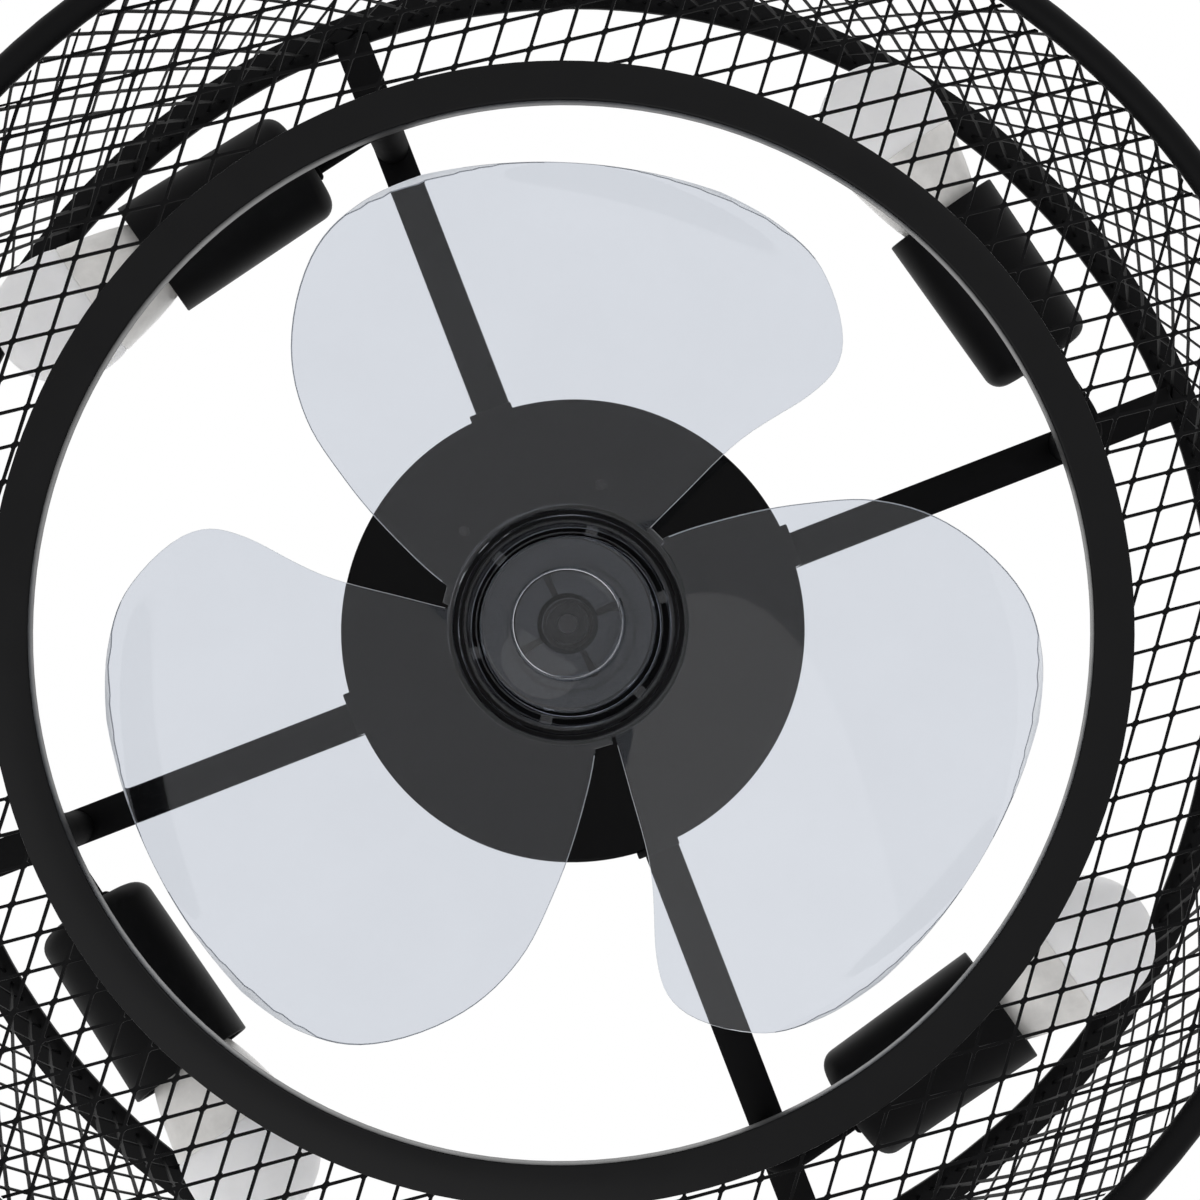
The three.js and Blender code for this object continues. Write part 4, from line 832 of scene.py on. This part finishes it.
class CEILINGFAN_OT_propeller(bpy.types.Operator):
    """Moulds the clear propeller with its dark ribs, and dark bands in its hub that paint the shade seen
    through it
    """

    bl_idname = "ceilingfan.propeller"
    bl_label = "Propeller"

    def execute(self, context):
        sizes = settings().propeller
        hub = sizes.hub_radius / MM
        inner = hub - sizes.hub_wall / MM
        step_z, low_z, high_z = HUB_FRONT_Z + 4, HUB_FRONT_Z + 6, HUB_FRONT_Z + 9
        body = spun([
            (BORE, HUB_FRONT_Z + 18), (HUB_BOSS, HUB_FRONT_Z + 18), (HUB_BOSS, WEB_Z),
            (INNER_STEP[0], WEB_Z), (INNER_STEP[0], HUB_FRONT_Z + 14), (INNER_STEP[1], HUB_FRONT_Z + 14),
            (INNER_STEP[1], WEB_Z), (MIDDLE_STEP[0], WEB_Z), (MIDDLE_STEP[0], step_z),
            (MIDDLE_STEP[1], step_z), (MIDDLE_STEP[1], high_z), (OUTER_STEP, high_z), (OUTER_STEP, low_z),
            (inner, low_z), (inner, HUB_FRONT_Z), (hub, HUB_FRONT_Z), (hub, HUB_BACK_Z), (inner, HUB_BACK_Z),
            (inner, WEB_TOP_Z), (HUB_BOSS, WEB_TOP_Z), (HUB_BOSS, HUB_BACK_Z), (BORE, HUB_BACK_Z),
        ], 112)
        soften(body, 0.35, 2, 50)
        made = piece("clear_propeller", body, clear_plastic(), "rotor_group", "propeller")
        first = sizes.rib_turn + math.radians(CATCH_LEAD)
        for i in range(CATCHES):
            catch = bar(CATCH_SIZE, (CATCH_RADIUS, 0, HUB_FRONT_Z + 12), first + i * FULL_TURN / CATCHES)
            carve(made, catch, operation="UNION")
        for i in range(BLADES):
            turn = sizes.turn + i * FULL_TURN / BLADES
            tab = bar(TAB_SIZE, (hub + 0.7, 0, HUB_FRONT_Z + 2), turn + sizes.tab_lead)
            carve(made, placed(blade(), Matrix.Rotation(turn, 4, "Z")), soften(tab, 0.5, 2), operation="UNION")
        carve(made, bar(PIN_ROOM, (0, 0, HUB_BACK_Z - 1.3)))
        shade_again(made)
        # The blades' edge faces get the pale opaque finish, a painted highlight.
        made.data.materials.append(edge_painted_highlight())
        edge_radius = sizes.hub_radius + EDGE_START
        for face in made.data.polygons:
            if abs(face.normal.z) < EDGE_TILT and face.center.to_2d().length > edge_radius:
                face.material_index = 1
        ribs = []
        for i in range(RIBS):
            ribs.append(bar(RIB_SIZE, (RIB_RADIUS, 0, WEB_Z - 3.8), sizes.rib_turn + i * FULL_TURN / RIBS))
        piece("hub_ribs", soften(gather(*ribs), 0.3, 2), satin_black(), "rotor_group", "propeller")
        # Painted shade: dark rings in the hub's recesses, seen through the clear moulding.
        bands = []
        for near, far in SHADE_BANDS:
            high = WEB_Z - SEAT if far < MIDDLE_STEP[1] else low_z - SEAT
            low = high - BAND_THICKNESS
            bands.append(spun([(near, low), (far, low), (far, high), (near, high)], 96))
        piece("hub_painted_shade_bands", gather(*bands), satin_black(), "rotor_group")
        return {"FINISHED"}


def shade_again(made):
    """Shades a carved clear piece smooth again, and gives it back its one material."""
    mesh = made.data
    mesh.polygons.foreach_set("use_smooth", [True] * len(mesh.polygons))
    mesh.set_sharp_from_angle(angle=math.radians(CLEAR_CREASE))
    mesh.polygons.foreach_set("material_index", [0] * len(mesh.polygons))
    while len(mesh.materials) > 1:
        mesh.materials.pop(index=len(mesh.materials) - 1)


class CEILINGFAN_OT_spinner(bpy.types.Operator):
    """Turns the clear spinner nut with its raised crown"""

    bl_idname = "ceilingfan.spinner"
    bl_label = "Spinner nut"

    def execute(self, context):
        sizes = settings().propeller
        rim, crown = sizes.nut_radius / MM, sizes.crown_radius / MM
        front, edge, wall, skirt = NUT_FRONT_Z, NUT_RIM_Z, 2, NUT_RIM_Z + 11
        face, bore, boss = front + wall, 8.8, 10.8
        nut = spun([
            (0, front), (crown * 0.5, front + 0.3), (crown * 0.8, front + 1.2), (crown * 0.94, front + 2.6),
            (crown, front + 4.4), (crown + 0.6, edge - 0.4), (crown + 1.5, edge), (rim - wall, edge),
            *arc((rim - wall, edge + wall), wall, -90, 0, 4)[1:], (rim, skirt), (rim - wall, skirt),
            (rim - wall, edge + 2.2), (crown, edge + 2.2), (crown - wall, front + 5.5), (12.6, front + 4.2),
            (boss, front + 6), (boss, NUT_BOSS_Z), (bore, NUT_BOSS_Z), (bore, face), (0, face),
        ], 96)
        piece("spinner_cap", nut, clear_plastic(), "spinner", "spinner_nut")
        return {"FINISHED"}


# ------------------------ lamps


LAMPS = range(1, 5)
ARM_STEPS = 12
ARM_SIDES = 28
ARM_TOP_DROP = 2.8  # from the middle of a spoke down to the arm's upper end
CUP_CORNER = 8.0
THROAT = 5.4  # radius of the hole in the cup's and the lampholder's closed ends
HOLDER_RADIUS = 20.0
HOLDER_INSET = 6.0  # from the cup's mouth back to the lampholder's
HOLDER_LENGTH = 45.0
HOLDER_DEPTH = 25.0
HOLDER_BORE = 13.6
NIPPLE_BACK = 47.1  # from the cup's mouth back to the end of the arm's nipple
CONTACT_THICKNESS = 2.5
BASE_LENGTH = 23.0
THREADS = 5
THREAD_PITCH = 3.4
THREAD_ROOT = 12.3
THREAD_CREST = 13.1
CONE_LENGTH = 38.0
DOME_SEAM = 0.05  # gap between a bulb's body and its dome
DOME_LENGTH = 46.25
DOME_WALL = 1.6


def cup_span():
    """Where a cup starts and ends along its lamp, in millimetres."""
    lamp = settings().lamp
    back = lamp.reach / MM + SEAT
    return back, back + lamp.cup_length / MM


def lamp_matrix(number, drooped=True):
    """From a lamp's own frame, with +X along its bulb and the elbow at its origin, to its place."""
    lamp = settings().lamp
    turn = SPOKE_TURNS[number - 1]
    height = SPOKE_MID_Z * MM - lamp.drop
    elbow = Vector((lamp.radius * math.cos(turn), lamp.radius * math.sin(turn), height))
    matrix = Matrix.Translation(elbow) @ Matrix.Rotation(turn + lamp.yaw, 4, "Z")
    if drooped:
        matrix = matrix @ Matrix.Rotation(lamp.droop, 4, "Y")
    return matrix


def bent_tube():
    """The arm's tube from under the spoke, round its bend and along to the cup."""
    lamp = settings().lamp
    rest = math.pi / 2 - lamp.droop
    tangent = lamp.bend * math.tan(rest / 2)
    stations = [(Vector((0, 0, lamp.drop - ARM_TOP_DROP * MM)), 0.0)]
    for i in range(ARM_STEPS + 1):
        lean = rest * i / ARM_STEPS
        middle = Vector((lamp.bend * (1 - math.cos(lean)), 0, tangent - lamp.bend * math.sin(lean)))
        stations.append((middle, lean))
    way = Vector((math.cos(lamp.droop), 0, -math.sin(lamp.droop)))
    stations.append((way * lamp.reach, rest))
    bm = bmesh.new()
    before = []
    for place, lean in stations:
        ring = bmesh.ops.create_circle(bm, segments=ARM_SIDES, radius=lamp.arm_radius)["verts"]
        bmesh.ops.rotate(bm, cent=(0, 0, 0), matrix=Matrix.Rotation(-lean, 3, "Y"), verts=ring)
        bmesh.ops.translate(bm, vec=place, verts=ring)
        edges = list({e for v in ring for e in v.link_edges})
        if before:
            bmesh.ops.bridge_loops(bm, edges=before + edges)
        before = edges
    bmesh.ops.holes_fill(bm, edges=[e for e in bm.edges if e.is_boundary], sides=0)
    bmesh.ops.recalc_face_normals(bm, faces=bm.faces)
    return soften(bm, 0.4, 2, 60)


class CEILINGFAN_OT_lamps(bpy.types.Operator):
    """Shapes the arm, the cup and the lampholder of each lamp"""

    bl_idname = "ceilingfan.lamps"
    bl_label = "Lamps"

    def execute(self, context):
        lamp = settings().lamp
        end, (back, front) = lamp.reach / MM, cup_span()
        mouth, rear, wall = lamp.cup_mouth / MM, lamp.cup_back / MM, lamp.cup_wall / MM
        droop = Matrix.Rotation(lamp.droop, 4, "Y")
        nipple_end, rim = front - NIPPLE_BACK, front - HOLDER_INSET
        low, inside, corner = rim - HOLDER_LENGTH, rim - HOLDER_DEPTH, (rear - CUP_CORNER, back + CUP_CORNER)
        for number in LAMPS:
            collar = placed(spun([
                (5, end), (11, end), (11, end - 1.8), (10.2, end - 2.6), (8, end - 2.6), (8, end - 1),
                (5, end - 1),
            ], 48), TO_X)
            nipple = placed(spun([(3.5, end - 1), (5, end - 1), (5, nipple_end), (3.5, nipple_end)], 32), TO_X)
            whole = gather(bent_tube(), placed(collar, droop), placed(nipple, droop))
            arm = placed(whole, lamp_matrix(number, drooped=False))
            piece(f"bent_arm_{number}", arm, matte_black(), "frame", f"lamp_arm_{number}")
            cup = spun([
                (THROAT, back), *arc(corner, CUP_CORNER, -90, 0, 8), (mouth, front - 0.4), (mouth - 0.4, front),
                (mouth - wall + 0.4, front), (mouth - wall, front - 0.4),
                *arc(corner, CUP_CORNER - wall, 0, -90, 8), (THROAT, back + wall),
            ], 72)
            placed(cup, lamp_matrix(number) @ TO_X)
            piece(f"cup_{number}", cup, satin_black(), "frame", f"lamp_cup_{number}")
            socket = spun([
                (THROAT, low), (HOLDER_RADIUS - 3, low), (HOLDER_RADIUS, low + 8), (HOLDER_RADIUS, rim - 12),
                (HOLDER_RADIUS - 0.8, rim - 11.4), (HOLDER_RADIUS - 0.8, rim - 10.6), (HOLDER_RADIUS, rim - 10),
                (HOLDER_RADIUS, rim), (HOLDER_BORE + 1, rim), (HOLDER_BORE, rim - 1), (HOLDER_BORE, inside),
                (THROAT, inside),
            ], 56)
            placed(socket, lamp_matrix(number) @ TO_X)
            piece(f"bulb_socket_{number}", socket, white_plastic(), "frame", f"lampholder_{number}", smooth=30)
        return {"FINISHED"}


class CEILINGFAN_OT_bulbs(bpy.types.Operator):
    """Turns the bulbs: threaded base, conical body and frosted dome"""

    bl_idname = "ceilingfan.bulbs"
    bl_label = "Bulbs"

    def execute(self, context):
        lamp = settings().lamp
        seam, widest = lamp.seam_radius / MM, lamp.bulb_radius / MM
        base = cup_span()[1] - HOLDER_INSET - HOLDER_DEPTH + 2 * SEAT + CONTACT_THICKNESS
        base_end = base + BASE_LENGTH
        body = base_end + SEAT
        dome = body + CONE_LENGTH + DOME_SEAM
        centre = dome + DOME_LENGTH - widest
        swell = widest - seam
        for number in LAMPS:
            matrix = lamp_matrix(number) @ TO_X
            threads = []
            for i in range(THREADS):
                start = base + 4 + THREAD_PITCH * i
                threads += [(THREAD_ROOT, start), (THREAD_CREST, start + 1.1)]
                threads += [(THREAD_CREST, start + 1.9), (THREAD_ROOT, start + 3.0)]
            cap = spun([
                (0, base), (9, base), (THREAD_ROOT, base + 3.6), *threads, (12.6, base_end), (0, base_end),
            ], 48)
            piece(f"bulb_thread_{number}", placed(cap, matrix), zinc(), f"bulb_{number}", f"bulb_base_{number}")
            cone = spun([
                (0, body), (15.6, body), (16, body + 0.4), (18.4, body + 3), (19.8, body + 5), (21.2, body + 9),
                (22.7, body + 14), (24, body + 19), (25.3, body + 25), (seam - 1.3, body + 31.5),
                (seam - 0.1, body + 37.2), (seam - 0.5, body + CONE_LENGTH), (0, body + CONE_LENGTH),
            ], 72)
            piece(f"bulb_cone_{number}", placed(cone, matrix), bulb_collar(), f"bulb_{number}",
                  f"bulb_body_{number}")
            shell = spun([
                (seam - 0.5, dome), (seam, dome + 0.5), (seam + 0.55 * swell, dome + 4.5),
                (seam + 0.9 * swell, dome + 11), *arc((0, centre), widest, 0, 90, 16),
                *arc((0, centre), widest - DOME_WALL, 90, 0, 16), (seam - DOME_WALL, dome),
            ], 72)
            piece(f"bulb_globe_{number}", placed(shell, matrix), bulb_diffuser(), f"bulb_{number}",
                  f"bulb_dome_{number}")
        return {"FINISHED"}


# ------------------------ the rest of the frame


class CEILINGFAN_OT_dress_frame(bpy.types.Operator):
    """Gives the frame's own nodes that stay in sight their finishes"""

    bl_idname = "ceilingfan.dress_frame"
    bl_label = "Frame finishes"

    def execute(self, context):
        finishes = {
            "ceiling_bracket": zinc(), "receiver": white_plastic(), "stator": windings(), "rotor": zinc(),
            "motor_shaft": dark_steel_and_shade(), "upper_bearing": zinc(), "lower_bearing": zinc(),
            "drive_pin": dark_steel_and_shade(), "spinner_insert": satin_black(),
            **{f"bulb_contact_{number}": zinc() for number in LAMPS},
        }
        for name, material in finishes.items():
            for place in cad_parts[name].material_slots:
                place.material = material
        return {"FINISHED"}


# ------------------------ studio, in metres


FLOOR_Z = -2.8
FLOOR_RADIUS = 30.0
LIGHTS = (  # name, place, diameter, power in watts
    ("key", (-1.35, 0.8, -1.5), 2.8, 13),
    ("fill", (1.7, -1.1, -1.3), 1.6, 4),
    ("top", (0.4, -0.5, 1.6), 2.2, 5),
)
LIGHT_TARGET = (0, 0, -0.15)

# The camera as fitted to the photograph: its place from the middle of the hoop with the picture upright, how
# far the picture and the lens are turned, in degrees, and the lens and sensor in millimetres.
CAMERA_ASIDE = (0.0285, 0.0248)
CAMERA_BELOW_HOOP = 0.8498
PICTURE_TURN = 21.13
TILT_X = 4.38
TILT_Y = 2.26
FOCAL_LENGTH = 62.4
SENSOR_WIDTH = 36
SHIFT_X = -0.0986
SHIFT_Y = -0.0636


class CEILINGFAN_OT_studio(bpy.types.Operator):
    """Sets the pale floor, the soft light and the camera that looks up at the fan"""

    bl_idname = "ceilingfan.studio"
    bl_label = "Studio"

    def execute(self, context):
        scene = context.scene
        scene.view_settings.view_transform = "Standard"
        world = bpy.data.worlds.new("studio")
        scene.world = world
        world.use_nodes = True
        sky = world.node_tree.nodes["Background"]
        sky.inputs["Color"].default_value = (1, 1, 1, 1)
        sky.inputs["Strength"].default_value = 1.0

        bm = bmesh.new()
        bmesh.ops.create_circle(bm, cap_ends=True, segments=96, radius=FLOOR_RADIUS)
        bmesh.ops.translate(bm, vec=(0, 0, FLOOR_Z), verts=bm.verts)
        mesh = bpy.data.meshes.new("studio_floor")
        bm.to_mesh(mesh)
        bm.free()
        floor = bpy.data.objects.new("studio_floor", mesh)
        scene.collection.objects.link(floor)
        mesh.materials.append(finish_material(
            "floor_paint", settings().finish.floor, 0.7, tone=0.015, grain=40.0, mottle=1.5
        ))

        for light in LIGHTS:
            self.light(scene, *light)
        self.camera(scene)
        return {"FINISHED"}

    @staticmethod
    def light(scene, name, place, size, power):
        lamp = bpy.data.lights.new(name, "AREA")
        lamp.shape = "DISK"
        lamp.size = size
        lamp.energy = power
        made = bpy.data.objects.new(name, lamp)
        made.location = place
        aim = Vector(LIGHT_TARGET) - Vector(place)
        made.rotation_euler = aim.to_track_quat("-Z", "Y").to_euler()
        made.visible_transmission = False
        scene.collection.objects.link(made)

    @staticmethod
    def camera(scene):
        lens = bpy.data.cameras.new("view_from_below")
        lens.sensor_width = SENSOR_WIDTH
        lens.lens = FOCAL_LENGTH
        lens.shift_x = SHIFT_X
        lens.shift_y = SHIFT_Y
        lens.clip_start = 0.01
        lens.dof.use_dof = False
        made = bpy.data.objects.new("view_from_below", lens)
        scene.collection.objects.link(made)
        upright = Matrix.Rotation(math.radians(PICTURE_TURN), 3, "Z")
        tilt = Matrix.Rotation(math.radians(TILT_X), 3, "X") @ Matrix.Rotation(math.radians(TILT_Y), 3, "Y")
        right, down, away = (upright @ tilt.col[i] for i in range(3))
        place = upright @ Vector((*CAMERA_ASIDE, 0))
        place.z = HOOP_Z * MM - CAMERA_BELOW_HOOP
        basis = Matrix((right, -down, -away)).transposed()
        made.matrix_world = Matrix.Translation(place) @ basis.to_4x4()
        scene.camera = made


# ------------------------ panel and start

OPERATORS = (
    CEILINGFAN_OT_rings,
    CEILINGFAN_OT_flat_net,
    CEILINGFAN_OT_wall_net,
    CEILINGFAN_OT_spokes,
    CEILINGFAN_OT_ceiling_end,
    CEILINGFAN_OT_motor,
    CEILINGFAN_OT_propeller,
    CEILINGFAN_OT_spinner,
    CEILINGFAN_OT_lamps,
    CEILINGFAN_OT_bulbs,
    CEILINGFAN_OT_dress_frame,
    CEILINGFAN_OT_studio,
)


class CEILINGFAN_PT_build(bpy.types.Panel):
    """Lists the steps that build the fan"""

    bl_idname = "CEILINGFAN_PT_build"
    bl_label = "Ceiling fan"
    bl_space_type = "VIEW_3D"
    bl_region_type = "UI"
    bl_category = "Ceiling Fan"

    def draw(self, context):
        column = self.layout.column()
        for step in OPERATORS:
            column.operator(step.bl_idname)
        fan = context.scene.ceiling_fan
        for values in (fan.cage, fan.motor, fan.propeller, fan.lamp, fan.finish):
            box = self.layout.box()
            for key in values.__annotations__:
                box.prop(values, key)


CLASSES = (
    FanCageSizes,
    FanMotorSizes,
    FanPropellerSizes,
    FanLampSizes,
    FanFinishes,
    CeilingFanSettings,
    *OPERATORS,
    CEILINGFAN_PT_build,
)


def register():
    for cls in CLASSES:
        bpy.utils.register_class(cls)
    bpy.types.Scene.ceiling_fan = group("Ceiling fan", "Sizes and colours of the fan", CeilingFanSettings)


def unregister():
    del bpy.types.Scene.ceiling_fan
    for cls in reversed(CLASSES):
        bpy.utils.unregister_class(cls)


def main():
    register()
    for step in OPERATORS:
        getattr(bpy.ops.ceilingfan, step.bl_idname.split(".")[1])()


if __name__ == "__main__":
    main()
